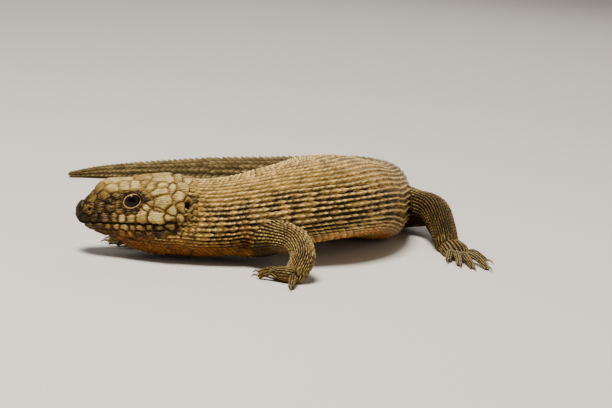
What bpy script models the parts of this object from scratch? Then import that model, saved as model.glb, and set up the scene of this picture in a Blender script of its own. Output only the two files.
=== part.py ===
"""Cunningham's skink, a still life-size model: solids of the whole animal, part by part.

Units in the driving sizes are millimetres; the meshes are made in metres, +Z up.
The animal faces -X, its left side faces -Y, and its body turns away towards +Y behind
the shoulders, with the tail curled back along the far side. The origin is on the floor
under the belly, where the belly lies flat.
"""
import math

import bmesh
import bpy
from mathutils import Matrix, Vector

MM = 0.001
GAP = 0.3
FLOOR = 0.0
UNDERGROUND = -10.0

# Lengths along the spine, from the snout's tip, in mm
HEAD_END = 48.0
NECK_END = 66.0
CHEST_END = 112.0
BELLY_END = 150.0
VENT = 198.0
TAIL_CUTS = (236.0, 272.0, 312.0, 348.0)
TOTAL_LENGTH = 378.0
BELLY_REST = 176.0
# The belly spreads most here where it lies on the floor, over this reach
BELLY_FULL = 148.0
BELLY_REACH = 26.0
# How much squarer the low half is there, where it sags to the ground
BELLY_SQUARE = 0.26

# Where the body turns: length along the spine, and its heading from +X towards +Y in degrees
SPINE_TURNS = (
    (0, 8), (42, 8), (60, 17), (76, 32), (92, 47), (108, 62), (124, 72), (170, 75),
    (206, 80), (228, 112), (252, 168), (268, 194), (296, 189), (352, 187), (372, 204), (378, 207),
)

# Body sections: length along the spine, half width, lowest and highest point above the floor.
# A lowest point under the floor is cut flat there, which makes the flats that the animal rests on.
BODY_SIZES = (
    (44, 16.0, 1.7, 32.0), (48, 15.4, 1.9, 31.6), (56, 15.4, 2.2, 32.4), (66, 16.6, 3.4, 34.4),
    (76, 18.8, 5.2, 36.6), (88, 22.0, 6.8, 37.9), (100, 25.2, 7.4, 38.6), (115, 27.6, 6.2, 38.8),
    (130, 27.6, 2.8, 37.2), (142, 26.2, -0.3, 34.8), (160, 22.8, -0.5, 31.0), (176, 19.4, -0.6, 27.4),
    (190, 16.8, -0.6, 25.0), (204, 14.2, -0.5, 22.6), (220, 12.2, -0.4, 20.4), (236, 10.6, -0.4, 18.6),
    (252, 9.2, -0.4, 16.8), (272, 7.9, -0.3, 15.0), (296, 6.7, -0.3, 13.4), (312, 6.0, -0.3, 12.2),
    (332, 5.0, -0.3, 9.8), (352, 3.9, -0.2, 7.2), (366, 2.8, -0.2, 5.2), (377.4, 1.3, 0.0, 2.8),
)

# Keeled scales of the solids: coarser than the real ones, in rows that run along the body
BODY_ROWS = 20
BODY_WHORL = 6.4
BODY_KEEL = 0.45
TAIL_ROWS = 14
TAIL_WHORL = 6.2
TAIL_SPINE = 1.15

# Head: length from the snout's tip, half width, lowest and highest point, all at the middle
HEAD_SIZES = (
    (0.15, 1.9, 15.2, 18.0), (0.8, 3.3, 14.2, 19.2), (2.0, 4.7, 12.9, 20.5), (3.8, 6.3, 11.6, 21.8),
    (6.0, 7.4, 10.3, 23.9), (8.0, 8.2, 9.4, 27.6), (10.0, 8.8, 8.8, 29.2), (12.0, 9.2, 8.1, 30.1),
    (16.0, 10.3, 6.6, 30.4), (20.0, 11.7, 4.8, 30.6), (25.0, 13.5, 3.1, 31.9), (30.0, 15.1, 2.1, 32.7),
    (35.0, 16.2, 1.6, 32.9), (40.0, 16.4, 1.6, 32.5), (44.0, 16.0, 1.7, 32.0), (48.0, 15.4, 1.9, 31.6),
)
# More sections of the head, where its shape turns most
HEAD_EXTRA_RINGS = (1.4, 2.9, 5.0, 7.0, 14.0, 18.0, 22.5, 27.5, 32.5, 37.5, 46.0)
# The line where the lips meet: length from the snout's tip, height; it ends at its corner
MOUTH_LINE = (
    (0, 13.4), (4, 13.8), (11, 14.3), (20, 14.9), (28, 15.8), (34, 16.4), (38.5, 18.3), (48, 19.5),
)
MOUTH_CORNER = 38.5
MOUTH_GROOVE = 0.75
LIP_LEAST = 0.6

EYE_AT = 21.4
EYE_HEIGHT = 23.5
EYE_RADIUS = 4.0
EYE_DEPTH = 3.0
LID_RADIUS = 0.62
NOSTRIL_AT = 5.2
NOSTRIL_HEIGHT = 18.8
NOSTRIL_RADIUS = 0.75
EAR_AT = 43.0
EAR_HEIGHT = 24.2
EAR_TALL = 4.2
EAR_WIDE = 2.6
EAR_DEEP = 2.6
ROOT_CLEARANCE = 0.15
LIMB_SIDES = 12
LIMB_RINGS = 14
TOE_SIDES = 8
# How a wrist or ankle goes on into the foot: distance on, share of its thickness
WRIST_STUB = ((1.4, 0.97), (3.4, 0.72))
FORE_CLAW = 3.5
HIND_CLAW = 4.2
CLAW_SHARE = 0.62
CLAW_RINGS = 3

# Materials: base colour (linear), roughness
SKIN_BACK = ((0.115, 0.078, 0.036), 0.55)
SKIN_HEAD = ((0.150, 0.105, 0.055), 0.50)
SKIN_TAIL = ((0.060, 0.045, 0.022), 0.58)
SKIN_LEG = ((0.110, 0.085, 0.048), 0.55)
EYE_DARK = ((0.010, 0.006, 0.004), 0.08)
CLAW_HORN = ((0.180, 0.135, 0.085), 0.35)


def between(table, at, column=1):
    """Smooth value of a column of a table at a place along it."""
    if at <= table[0][0]:
        return table[0][column]
    for low, high in zip(table, table[1:]):
        if at <= high[0]:
            share = (at - low[0]) / (high[0] - low[0])
            return low[column] + (high[column] - low[column]) * share
    return table[-1][column]


def smooth_between(table, at, column=1):
    """The same with the corners at the table's rows rounded off."""
    reach = 3.0
    steps = (-1.0, -0.5, 0.0, 0.5, 1.0)
    return sum(between(table, at + reach * step, column) for step in steps) / len(steps)


def heading(at):
    """Direction of the spine at a length along it, in radians."""
    for low, high in zip(SPINE_TURNS, SPINE_TURNS[1:]):
        if at <= high[0]:
            share = max(0.0, (at - low[0]) / (high[0] - low[0]))
            share = share * share * (3.0 - 2.0 * share)
            return math.radians(low[1] + (high[1] - low[1]) * share)
    return math.radians(SPINE_TURNS[-1][1])


def walk_spine():
    """Points of the spine on the floor, one for each mm, with the origin under the belly."""
    points = [Vector((0.0, 0.0))]
    for step in range(int(TOTAL_LENGTH)):
        turn = heading(step + 0.5)
        points.append(points[-1] + Vector((math.cos(turn), math.sin(turn))))
    rest = points[int(BELLY_REST)].copy()
    return [point - rest for point in points]


SPINE = walk_spine()


def spine_point(at):
    low = max(0, min(int(at), len(SPINE) - 2))
    return SPINE[low].lerp(SPINE[low + 1], at - low)


def from_spine(at, left, height):
    """A point in mm: length along the spine, distance to the animal's left, height."""
    turn = heading(at)
    base = spine_point(at)
    return Vector((base.x + math.sin(turn) * left, base.y - math.cos(turn) * left, height))


def new_object(name, mesh, group):
    obj = bpy.data.objects.new(name, mesh)
    group.objects.link(obj)
    return obj


def loft(name, rings, group, cap_start=True, cap_end=True):
    """One closed body through rings of equal count, given in mm."""
    mesh = bpy.data.meshes.new(name)
    build = bmesh.new()
    rows = [[build.verts.new(point * MM) for point in ring] for ring in rings]
    count = len(rows[0])
    for near, far in zip(rows, rows[1:]):
        for i in range(count):
            j = (i + 1) % count
            build.faces.new((near[i], near[j], far[j], far[i]))
    if cap_start:
        build.faces.new(list(reversed(rows[0])))
    if cap_end:
        build.faces.new(rows[-1])
    bmesh.ops.recalc_face_normals(build, faces=build.faces)
    build.to_mesh(mesh)
    build.free()
    return new_object(name, mesh, group)


def body_ring(at, count, grow=0.0, lift=None, lean=None):
    """A section of neck, trunk or tail: belly broad and flat, back rounded.

    lift(i, part) raises point i, where part is 0 under the belly and 1 on the back;
    lean(i, part) moves it towards the tail.
    """
    half = smooth_between(BODY_SIZES, at, 1)
    low = smooth_between(BODY_SIZES, at, 2)
    high = smooth_between(BODY_SIZES, at, 3)
    axis = low + (high - low) * 0.44
    points = []
    for i in range(count):
        angle = 2.0 * math.pi * i / count
        side, up = math.sin(angle), -math.cos(angle)
        full = BELLY_SQUARE * math.exp(-((at - BELLY_FULL) / BELLY_REACH) ** 2)
        power = 0.80 - full if up < 0 else 0.92
        reach_up = (high - axis) if up > 0 else (axis - low)
        x = half * math.copysign(abs(side) ** power, side)
        z = reach_up * math.copysign(abs(up) ** (0.86 - full if up < 0 else 0.97), up)
        out = Vector((side * reach_up, up * half)).normalized()
        part = min(1.0, max(0.0, (up + 0.55) / 0.5))
        rise = grow + (lift(i, part) if lift else 0.0)
        slip = lean(i, part) if lean else 0.0
        place = from_spine(at + slip, x + out.x * rise, axis + z + out.y * rise)
        if grow == 0.0:
            place.z = max(place.z, FLOOR)
        points.append(place)
    return points


def body_length(name, start, end, rows, whorl, keel, group, spiny=False):
    """A length of the body with rows of keeled scales, their tips raised towards the tail."""
    count = rows * 2
    half_gap = GAP / 2.0
    first, last = start + half_gap, end - half_gap
    steps = max(2, round((last - first) / (whorl / 2.0)))
    rings = []
    for step in range(steps + 1):
        at = first + (last - first) * step / steps
        edge = step in (0, steps)

        def lift(i, part, step=step, at=at):
            on_keel = i % 2 == 0
            fade = min(1.0, smooth_between(BODY_SIZES, at, 1) / 4.0)
            if spiny:
                tip = step % 2 == 1
            else:
                tip = (step + i // 2) % 2 == 1
            size = keel * part * fade
            if edge:
                return size * 0.3 if on_keel else 0.0
            if not on_keel:
                return 0.0
            return size if tip else size * 0.3

        def lean(i, part, step=step):
            if edge or i % 2:
                return 0.0
            tip = step % 2 == 1 if spiny else (step + i // 2) % 2 == 1
            return (0.22 * whorl * part) if tip else 0.0

        rings.append(body_ring(at, count, lift=lift, lean=lean))
    return loft(name, rings, group)


def head_ring(at, grow=0.0):
    """A section of the head with the upper and lower lip and the groove between them."""
    half = between(HEAD_SIZES, at, 1)
    low = between(HEAD_SIZES, at, 2)
    high = between(HEAD_SIZES, at, 3)
    mouth = max(between(MOUTH_LINE, at), low + LIP_LEAST)
    closing = min(1.0, max(0.0, (MOUTH_CORNER + 1.0 - at) / 3.0))
    groove = MOUTH_GROOVE * closing * min(1.0, half / 6.0)
    brow = 0.55 * math.exp(-((at - 21.0) / 5.5) ** 2)
    cheek = 0.35 * math.exp(-((at - 34.0) / 5.0) ** 2)
    upper, lower = 11, 8
    blend = min(1.0, max(0.0, (at - 40.0) / 8.0))
    plain = body_ring(at, 38)
    side_points = []
    lip = 0.45 * closing + 0.06
    for k in range(lower):
        angle = 0.5 * math.pi * k / (lower - 1)
        x = half * 0.965 * math.sin(angle) ** 0.84
        z = (mouth - lip) - (mouth - lip - low) * math.cos(angle) ** 0.90
        side_points.append((x, z))
    side_points.append((half - groove, mouth))
    for k in range(upper):
        angle = 0.5 * math.pi * k / (upper - 1)
        shape = math.cos(angle)
        x = half * shape ** 0.72
        z = (mouth + lip) + (high - mouth - lip) * math.sin(angle) ** 0.93
        swell = brow * math.exp(-((z - 28.0) / 2.0) ** 2) + cheek * math.exp(-((z - 22.0) / 4.0) ** 2)
        x += swell * min(1.0, shape * 3.0)
        side_points.append((x, z))
    ring = side_points + [(-x, z) for x, z in reversed(side_points[1:-1])]
    points = []
    for (x, z), body in zip(ring, plain):
        place = from_spine(at, x, z)
        if blend > 0.0:
            place = place.lerp(nearest_on_ring(place, plain), blend)
        points.append(place)
    return points


def nearest_on_ring(place, ring):
    """The point of a closed ring of straight sides that lies nearest to a place."""
    best, best_distance = ring[0], 1e9
    for a, b in zip(ring, ring[1:] + ring[:1]):
        edge = b - a
        share = min(1.0, max(0.0, (place - a).dot(edge) / max(edge.length_squared, 1e-9)))
        point = a + edge * share
        distance = (point - place).length
        if distance < best_distance:
            best, best_distance = point, distance
    return best


def head_surface(at, height):
    """Distance from the middle of the head to its side at a height."""
    ring = head_ring(at)
    base = spine_point(at)
    turn = heading(at)
    sides = []
    for a, b in zip(ring, ring[1:]):
        if (a.z - height) * (b.z - height) <= 0.0 and abs(a.z - b.z) > 1e-6:
            point = a.lerp(b, (height - a.z) / (b.z - a.z))
            sides.append((point.x - base.x) * math.sin(turn) - (point.y - base.y) * math.cos(turn))
    return max(sides)


def ball(name, radius, place, group, segments=20, rings=12, scale=(1, 1, 1), turn=None):
    """A closed ball or egg, given in mm."""
    mesh = bpy.data.meshes.new(name)
    build = bmesh.new()
    bmesh.ops.create_uvsphere(build, u_segments=segments, v_segments=rings, radius=radius * MM)
    shape = Matrix.Diagonal((*scale, 1.0))
    if turn:
        shape = turn.to_4x4() @ shape
    bmesh.ops.transform(build, matrix=Matrix.Translation(place * MM) @ shape, verts=build.verts)
    build.to_mesh(mesh)
    build.free()
    return new_object(name, mesh, group)


def ring_tube(name, centre, across, up, wide, tall, thick, group, count=20, sides=6):
    """A closed ring of round wire, used for the eyelids."""
    out = across.cross(up).normalized()
    rings = []
    for k in range(count):
        angle = 2.0 * math.pi * k / count
        spoke = across * math.cos(angle) + up * math.sin(angle)
        middle = centre + across * (wide * math.cos(angle)) + up * (tall * math.sin(angle))
        rings.append([
            middle + spoke * (thick * math.cos(a)) + out * (thick * math.sin(a))
            for a in (2.0 * math.pi * s / sides for s in range(sides))
        ])
    mesh = bpy.data.meshes.new(name)
    build = bmesh.new()
    rows = [[build.verts.new(point * MM) for point in ring] for ring in rings]
    for k in range(count):
        near, far = rows[k], rows[(k + 1) % count]
        for i in range(sides):
            j = (i + 1) % sides
            build.faces.new((near[i], near[j], far[j], far[i]))
    bmesh.ops.recalc_face_normals(build, faces=build.faces)
    build.to_mesh(mesh)
    build.free()
    return new_object(name, mesh, group)


def boolean(obj, operation, others, scratch, solver="EXACT"):
    """Join or cut with a list of closed objects, which are removed afterwards."""
    group = bpy.data.collections.new("with_" + obj.name)
    scratch.children.link(group)
    for other in others:
        for user in list(other.users_collection):
            user.objects.unlink(other)
        group.objects.link(other)
    step = obj.modifiers.new(operation.lower(), "BOOLEAN")
    step.operation = operation
    step.solver = solver
    step.operand_type = "COLLECTION"
    step.collection = group
    apply_modifiers(obj)
    for other in others:
        bpy.data.objects.remove(other)
    bpy.data.collections.remove(group)


def apply_modifiers(obj):
    """Replace the object's mesh by its evaluated one."""
    bpy.context.view_layer.update()
    seen = obj.evaluated_get(bpy.context.evaluated_depsgraph_get())
    mesh = bpy.data.meshes.new_from_object(seen)
    obj.modifiers.clear()
    old = obj.data
    obj.data = mesh
    bpy.data.meshes.remove(old)


def keep_largest(obj):
    """Keep only the largest closed surface of an object."""
    build = bmesh.new()
    build.from_mesh(obj.data)
    bmesh.ops.remove_doubles(build, verts=build.verts, dist=0.00001)
    bmesh.ops.dissolve_degenerate(build, edges=build.edges, dist=0.000005)
    groups = []
    left = set(build.faces)
    while left:
        stack = [left.pop()]
        group = []
        while stack:
            face = stack.pop()
            group.append(face)
            for edge in face.edges:
                for other in edge.link_faces:
                    if other in left:
                        left.remove(other)
                        stack.append(other)
        groups.append(group)
    groups.sort(key=lambda faces: sum(face.calc_area() for face in faces), reverse=True)
    loose = [face for group in groups[1:] for face in group]
    if loose:
        bmesh.ops.delete(build, geom=loose, context="FACES")
    bmesh.ops.triangulate(build, faces=build.faces)
    build.to_mesh(obj.data)
    build.free()


def material(name, finish):
    made = bpy.data.materials.new(name)
    made.use_nodes = True
    shader = made.node_tree.nodes["Principled BSDF"]
    colour, roughness = finish
    shader.inputs["Base Color"].default_value = (*colour, 1.0)
    shader.inputs["Roughness"].default_value = roughness
    shader.inputs["Metallic"].default_value = 0.0
    return made


def dress(obj, finish):
    """Give an object its own material and round shading."""
    obj.data.materials.clear()
    obj.data.materials.append(material("mat_" + obj.name, finish))
    obj.data.shade_smooth()
    obj.data.set_sharp_from_angle(angle=math.radians(50))


def eye_centre(side):
    out = head_surface(EYE_AT, EYE_HEIGHT)
    return from_spine(EYE_AT, side * (out - EYE_DEPTH), EYE_HEIGHT)


def make_head(skink, scratch):
    """Head with lips, nostrils, eye sockets with lids, and ear cups."""
    places = [row[0] for row in HEAD_SIZES[:-1]] + list(HEAD_EXTRA_RINGS) + [HEAD_END - GAP / 2.0]
    rings = [head_ring(at) for at in sorted(places)]
    head = loft("head", rings, skink)
    lids, cuts = [], []
    for side, label in ((1, "left"), (-1, "right")):
        turn = heading(EYE_AT)
        out = Vector((math.sin(turn), -math.cos(turn), 0.0)) * side
        along = Vector((math.cos(turn), math.sin(turn), 0.0))
        centre = eye_centre(side)
        tilt = (out + Vector((0.0, 0.0, 0.16))).normalized()
        up = tilt.cross(along) * side
        up = up if up.z > 0 else -up
        rim = math.sqrt((EYE_RADIUS + GAP) ** 2 - EYE_DEPTH ** 2)
        lids.append(ring_tube("lid_" + label, centre + tilt * (EYE_DEPTH - 0.1), along, up,
                              rim + 0.15, rim - 0.35, LID_RADIUS, scratch, 16, 5))
        cuts.append(ball("socket_" + label, EYE_RADIUS + GAP, centre, scratch, 16, 12))
        nose = head_surface(NOSTRIL_AT, NOSTRIL_HEIGHT)
        cuts.append(ball("nostril_" + label, NOSTRIL_RADIUS,
                         from_spine(NOSTRIL_AT, side * (nose - 0.1), NOSTRIL_HEIGHT), scratch, 8, 6))
        ear = head_surface(EAR_AT, EAR_HEIGHT)
        cuts.append(ball("ear_" + label, 1.0, from_spine(EAR_AT, side * ear, EAR_HEIGHT), scratch, 10, 6,
                         (EAR_WIDE / 2, EAR_DEEP, EAR_TALL / 2)))
    boolean(head, "UNION", lids, scratch)
    boolean(head, "DIFFERENCE", cuts, scratch)
    keep_largest(head)
    dress(head, SKIN_HEAD)
    for side, label in ((1, "left"), (-1, "right")):
        eye = ball("eye_" + label, EYE_RADIUS, eye_centre(side), skink, 16, 12)
        dress(eye, EYE_DARK)


# Legs are placed in mm from under the left palm, where the snout's tip lies here
SNOUT_FROM_PALM = Vector((-84.5, 19.5))
PALM_TO_REST = SNOUT_FROM_PALM - SPINE[0]


def world(x, y):
    """A place on the floor, measured in mm from under the left palm."""
    return Vector((x, y)) - PALM_TO_REST


def curve_points(points, count):
    """Points spread evenly by number along a smooth curve through the given ones."""
    made = []
    spans = len(points) - 1
    for k in range(count):
        at = spans * k / (count - 1)
        i = min(int(at), spans - 1)
        t = at - i
        a = points[max(i - 1, 0)]
        b, c = points[i], points[i + 1]
        d = points[min(i + 2, spans)]
        made.append(tuple(
            0.5 * (2 * q + (r - p) * t
                   + (2 * p - 5 * q + 4 * r - s) * t * t
                   + (3 * q - p - 3 * r + s) * t ** 3)
            for p, q, r, s in zip(a, b, c, d)
        ))
    return made


def ring_middle(ring):
    return sum(ring, Vector()) / len(ring)


def moved_on(ring, before, distance):
    """The same ring again, a distance further along the tube, square to it."""
    ahead = (ring[1] - ring[0]).cross(ring[2] - ring[1]).normalized()
    if ahead.dot(ring_middle(ring) - ring_middle(before)) < 0.0:
        ahead = -ahead
    return [place + ahead * distance for place in ring], ahead


def tube_rings(points, sides, across=None, floor=FLOOR):
    """Rings of an oval tube; each point is x, y, z, half width, half height in mm."""
    rings = []
    places = [Vector(point[:3]) for point in points]
    for k, point in enumerate(points):
        ahead = places[min(k + 1, len(places) - 1)] - places[max(k - 1, 0)]
        ahead.normalize()
        if across is None:
            across = ahead.cross(Vector((0.0, 0.0, 1.0)))
        across = (across - ahead * across.dot(ahead)).normalized()
        up = across.cross(ahead).normalized()
        ring = []
        for s in range(sides):
            angle = 2.0 * math.pi * (s + 0.5) / sides
            place = places[k] + across * (point[3] * math.cos(angle)) + up * (point[4] * math.sin(angle))
            place.z = max(place.z, floor)
            ring.append(place)
        rings.append(ring)
    return rings


def place_limb(points):
    """Turn palm-frame places into the model's frame, keeping the sizes beside them."""
    made = []
    for x, y, z, wide, high in points:
        flat = world(x, y)
        made.append((flat.x, flat.y, z, wide, high))
    return made


def split_rings(points, sides, cut_at):
    """Rings of a whole limb, parted at a share of its length with a thin gap."""
    whole = curve_points(points, 40)
    lengths = [0.0]
    for a, b in zip(whole, whole[1:]):
        lengths.append(lengths[-1] + (Vector(b[:3]) - Vector(a[:3])).length)
    evenly = []
    for step in range(LIMB_RINGS):
        length = lengths[-1] * step / (LIMB_RINGS - 1)
        k = 0
        while k < len(whole) - 2 and lengths[k + 1] < length:
            k += 1
        share = (length - lengths[k]) / (lengths[k + 1] - lengths[k])
        evenly.append(tuple(p + (q - p) * share for p, q in zip(whole[k], whole[k + 1])))
    rings = tube_rings(evenly, sides)
    cut = round(cut_at * (LIMB_RINGS - 1))
    first, _ = moved_on(rings[cut], rings[cut - 1], GAP)
    return rings[:cut + 1], [first] + rings[cut + 1:]


def claw_rings(finger, end_point):
    """A curved claw that starts flush with the end of its toe and comes down to a point."""
    end, ahead = moved_on(finger[-1], finger[-2], GAP)
    start = ring_middle(end)
    size = CLAW_SHARE * sum((place - start).length for place in end) / len(end)
    middle = start + ahead * 1.6 + Vector((0.0, 0.0, 0.9))
    point = Vector(end_point[:3])
    rings = [[start + (place - start) * CLAW_SHARE for place in end]]
    path = []
    for k in range(1, CLAW_RINGS + 1):
        t = k / CLAW_RINGS
        place = start * (1 - t) ** 2 + middle * (2 * t * (1 - t)) + point * t * t
        thick = size * (1.0 - t) ** 0.8 + 0.16
        path.append((*place, thick * 0.8, thick))
    return rings + tube_rings(path, len(end))


def grown_tube(rings, scratch):
    """A limb's tube thicker and longer by the gap, which the foot is cut against."""
    grown = []
    for ring in rings:
        middle = ring_middle(ring)
        grown.append([place + (place - middle).normalized() * GAP for place in ring])
    grown.append(moved_on(grown[-1], grown[-2], GAP * 0.93)[0])
    return loft("limb_grown", grown, scratch)


def ground(scratch):
    """A block under the floor, which cuts the soles flat."""
    mesh = bpy.data.meshes.new("ground")
    build = bmesh.new()
    bmesh.ops.create_cube(build, size=1.0)
    bmesh.ops.translate(build, vec=(0.0, 0.0, -0.5), verts=build.verts)
    build.to_mesh(mesh)
    build.free()
    return new_object("ground", mesh, scratch)


def make_foot(name, shin, palm, toes, skink, scratch):
    """Palm and toes in one body, and a claw of its own at the end of each toe."""
    root, ahead = moved_on(shin[-1], shin[-2], GAP)
    middle = ring_middle(root)
    stub = [root]
    for distance, share in WRIST_STUB:
        stub.append([middle + ahead * distance + (place - middle) * share for place in root])
    foot = loft(name, stub, skink)
    fingers = []
    for number, toe in enumerate(toes, start=1):
        finger = tube_rings(curve_points(toe[:-1], 7), TOE_SIDES, None, UNDERGROUND)
        fingers.append(loft("%s_toe_%d" % (name, number), finger, scratch))
        horn = loft("%s_claw_%d" % (name, number), claw_rings(finger, toe[-1]), skink)
        dress(horn, CLAW_HORN)
    sole = loft(name + "_palm", tube_rings(palm, LIMB_SIDES, None, UNDERGROUND), scratch)
    boolean(foot, "UNION", [sole] + fingers, scratch)
    boolean(foot, "DIFFERENCE", [grown_tube(shin, scratch), ground(scratch)], scratch)
    keep_largest(foot)
    dress(foot, SKIN_LEG)
    return foot


def body_cutter(scratch, start=HEAD_END - 8.0, end=VENT + 30.0):
    """The trunk grown by the gap, which limb roots are cut against."""
    steps = 60
    grow = GAP + BODY_KEEL + ROOT_CLEARANCE
    rings = [body_ring(start + (end - start) * k / steps, 44, grow=grow) for k in range(steps + 1)]
    return loft("trunk_grown", rings, scratch)


def toe(root, angle, reach, thick, claw=FORE_CLAW, rise=1.6):
    """A toe's path: root, knuckle, tip, then the point of its claw."""
    turn = math.radians(angle)
    x, y, z = root
    path = []
    for share, height, size in ((0.0, z, 1.0), (0.35, z + rise * 0.9, 1.0), (0.7, z + rise * 0.35, 0.92),
                                (1.0, thick * 0.62, 0.8)):
        path.append((x + math.cos(turn) * reach * share, y + math.sin(turn) * reach * share,
                     height, thick * size, thick * size * 0.95))
    tip = path[-1]
    ahead = Vector((math.cos(turn), math.sin(turn)))
    path.append((tip[0] + ahead.x * claw, tip[1] + ahead.y * claw, 0.45, 0, 0))
    return path


def make_limb(names, path, cut_at, palm, toes, skink, scratch):
    """Upper leg cut against the trunk, lower leg, and the foot with its claws."""
    upper_name, lower_name, foot_name = names
    upper, lower = split_rings(place_limb(path), LIMB_SIDES, cut_at)
    top = loft(upper_name, upper, skink)
    boolean(top, "DIFFERENCE", [body_cutter(scratch)], scratch)
    keep_largest(top)
    dress(top, SKIN_LEG)
    dress(loft(lower_name, lower, skink), SKIN_LEG)
    make_foot(foot_name, lower, place_limb(palm), [place_limb(one) for one in toes], skink, scratch)


def make_legs(skink, scratch):
    """Four legs; every place is in mm from under the left palm."""
    # Left fore: elbow held out and back, hand turned forwards
    make_limb(
        ("upper_arm_left", "forearm_left", "hand_left"),
        [(-16.0, 31.0, 11.4, 7.6, 7.2), (-10.0, 23.0, 12.0, 7.2, 6.8), (-3.0, 15.5, 13.8, 6.0, 6.0),
         (3.0, 9.4, 13.8, 5.4, 5.4), (6.0, 4.0, 9.6, 4.9, 4.7), (4.4, -0.2, 4.6, 4.5, 3.6)],
        0.60,
        [(6.2, -1.2, 1.8, 2.0, 1.4), (4.6, -1.2, 2.4, 4.3, 2.4), (2.0, -0.9, 2.6, 4.8, 2.6),
         (-0.8, -0.1, 2.3, 5.0, 2.2), (-3.0, 1.4, 1.8, 3.6, 1.5)],
        [toe((0.8, 2.4, 1.7), 106, 7.0, 1.32), toe((-1.4, 2.6, 2.1), 124, 9.0, 1.46),
         toe((-2.7, 1.4, 1.9), 142, 9.6, 1.5), toe((-2.6, -0.8, 1.8), 165, 7.8, 1.44),
         toe((3.2, -2.2, 1.9), 266, 9.6, 1.5)],
        skink, scratch)
    # Right fore: reaching forwards beside the jaw
    make_limb(
        ("upper_arm_right", "forearm_right", "hand_right"),
        [(-14.0, 38.0, 14.6, 7.6, 7.4), (-21.5, 48.0, 15.2, 6.6, 6.6), (-30.0, 55.0, 14.6, 5.6, 5.8),
         (-37.0, 56.6, 11.6, 4.9, 5.0), (-44.5, 52.6, 7.2, 4.6, 4.4), (-49.5, 48.6, 4.6, 4.6, 3.4)],
        0.56,
        [(-48.6, 48.8, 1.8, 2.0, 1.4), (-50.4, 47.6, 2.5, 4.4, 2.5), (-53.0, 46.0, 2.8, 5.0, 2.7),
         (-56.4, 43.8, 2.3, 5.4, 2.2), (-59.0, 42.4, 1.8, 3.8, 1.5)],
        [toe((-57.0, 40.8, 1.8), 226, 8.5, 1.45), toe((-58.6, 40.8, 2.0), 208, 11.5, 1.5),
         toe((-59.4, 42.0, 2.0), 194, 13.5, 1.5), toe((-59.2, 43.8, 1.9), 180, 12.5, 1.5),
         toe((-56.6, 46.0, 1.8), 152, 9.0, 1.5)],
        skink, scratch)
    # Left hind: knee out and forwards, foot turned towards the viewer
    make_limb(
        ("thigh_left", "shin_left", "foot_left"),
        [(30.0, 128.0, 9.0, 9.0, 8.4), (43.0, 121.0, 9.0, 9.0, 8.2), (53.6, 113.0, 10.6, 8.2, 8.0),
         (60.2, 102.0, 12.0, 7.1, 7.1), (63.4, 90.4, 9.0, 6.0, 5.8), (65.6, 79.2, 4.8, 5.2, 4.0)],
        0.58,
        [(65.8, 80.2, 1.9, 2.2, 1.5), (66.4, 77.8, 2.8, 4.6, 2.7), (67.8, 74.4, 3.1, 5.2, 3.0),
         (69.4, 69.8, 2.5, 5.6, 2.4), (70.8, 66.2, 1.9, 4.4, 1.6)],
        [toe((67.2, 67.2, 1.8), 261, 9.0, 1.5, HIND_CLAW),
         toe((68.8, 65.4, 2.0), 276, 13.0, 1.55, HIND_CLAW),
         toe((70.8, 64.8, 2.0), 287, 16.0, 1.55, HIND_CLAW),
         toe((72.6, 66.2, 2.0), 299, 18.5, 1.55, HIND_CLAW),
         toe((73.4, 69.8, 1.9), 323, 10.5, 1.5, HIND_CLAW)],
        skink, scratch)
    # Right hind: held out behind the body
    make_limb(
        ("thigh_right", "shin_right", "foot_right"),
        [(28.0, 131.0, 9.4, 9.0, 8.8), (16.0, 137.0, 9.2, 8.8, 8.6), (4.5, 140.4, 9.8, 8.2, 8.0),
         (-6.0, 139.6, 11.0, 7.2, 7.2), (-12.6, 133.4, 8.0, 6.0, 5.8), (-16.0, 126.0, 4.8, 5.2, 4.2)],
        0.56,
        [(-15.2, 127.0, 1.9, 2.2, 1.5), (-16.2, 125.2, 2.8, 4.6, 2.7), (-18.0, 122.2, 3.1, 5.2, 3.0),
         (-20.6, 118.2, 2.5, 5.8, 2.4), (-23.8, 114.8, 1.9, 4.4, 1.6)],
        [toe((-20.0, 113.6, 1.8), 250, 9.0, 1.5, HIND_CLAW),
         toe((-22.0, 113.4, 2.0), 236, 13.0, 1.55, HIND_CLAW),
         toe((-24.4, 113.8, 2.0), 222, 18.5, 1.55, HIND_CLAW),
         toe((-25.8, 115.8, 2.0), 210, 21.0, 1.55, HIND_CLAW),
         toe((-23.8, 119.4, 1.9), 178, 11.5, 1.5, HIND_CLAW)],
        skink, scratch)


def make_body(skink):
    """Neck, trunk in three lengths and tail in five."""
    lengths = [
        ("neck", HEAD_END, NECK_END, BODY_ROWS, BODY_WHORL, BODY_KEEL, False, SKIN_BACK),
        ("torso_chest", NECK_END, CHEST_END, BODY_ROWS, BODY_WHORL, BODY_KEEL, False, SKIN_BACK),
        ("torso_belly", CHEST_END, BELLY_END, BODY_ROWS, BODY_WHORL, BODY_KEEL, False, SKIN_BACK),
        ("torso_hips", BELLY_END, VENT, BODY_ROWS, BODY_WHORL, BODY_KEEL, False, SKIN_BACK),
    ]
    cuts = (VENT,) + TAIL_CUTS + (TOTAL_LENGTH - 0.6,)
    for number, (start, end) in enumerate(zip(cuts, cuts[1:]), start=1):
        lengths.append(("tail_%d" % number, start, end, TAIL_ROWS, TAIL_WHORL, TAIL_SPINE, True, SKIN_TAIL))
    for name, start, end, rows, whorl, keel, spiny, finish in lengths:
        dress(body_length(name, start, end, rows, whorl, keel, skink, spiny), finish)


def main():
    for obj in list(bpy.data.objects):
        bpy.data.objects.remove(obj)
    skink = bpy.data.collections.new("cunninghams_skink")
    scratch = bpy.data.collections.new("cutters")
    bpy.context.scene.collection.children.link(skink)
    bpy.context.scene.collection.children.link(scratch)
    make_head(skink, scratch)
    make_body(skink)
    make_legs(skink, scratch)
    for left_over in list(scratch.objects):
        left_over.hide_render = True
        left_over.display_type = "WIRE"


main()
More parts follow.
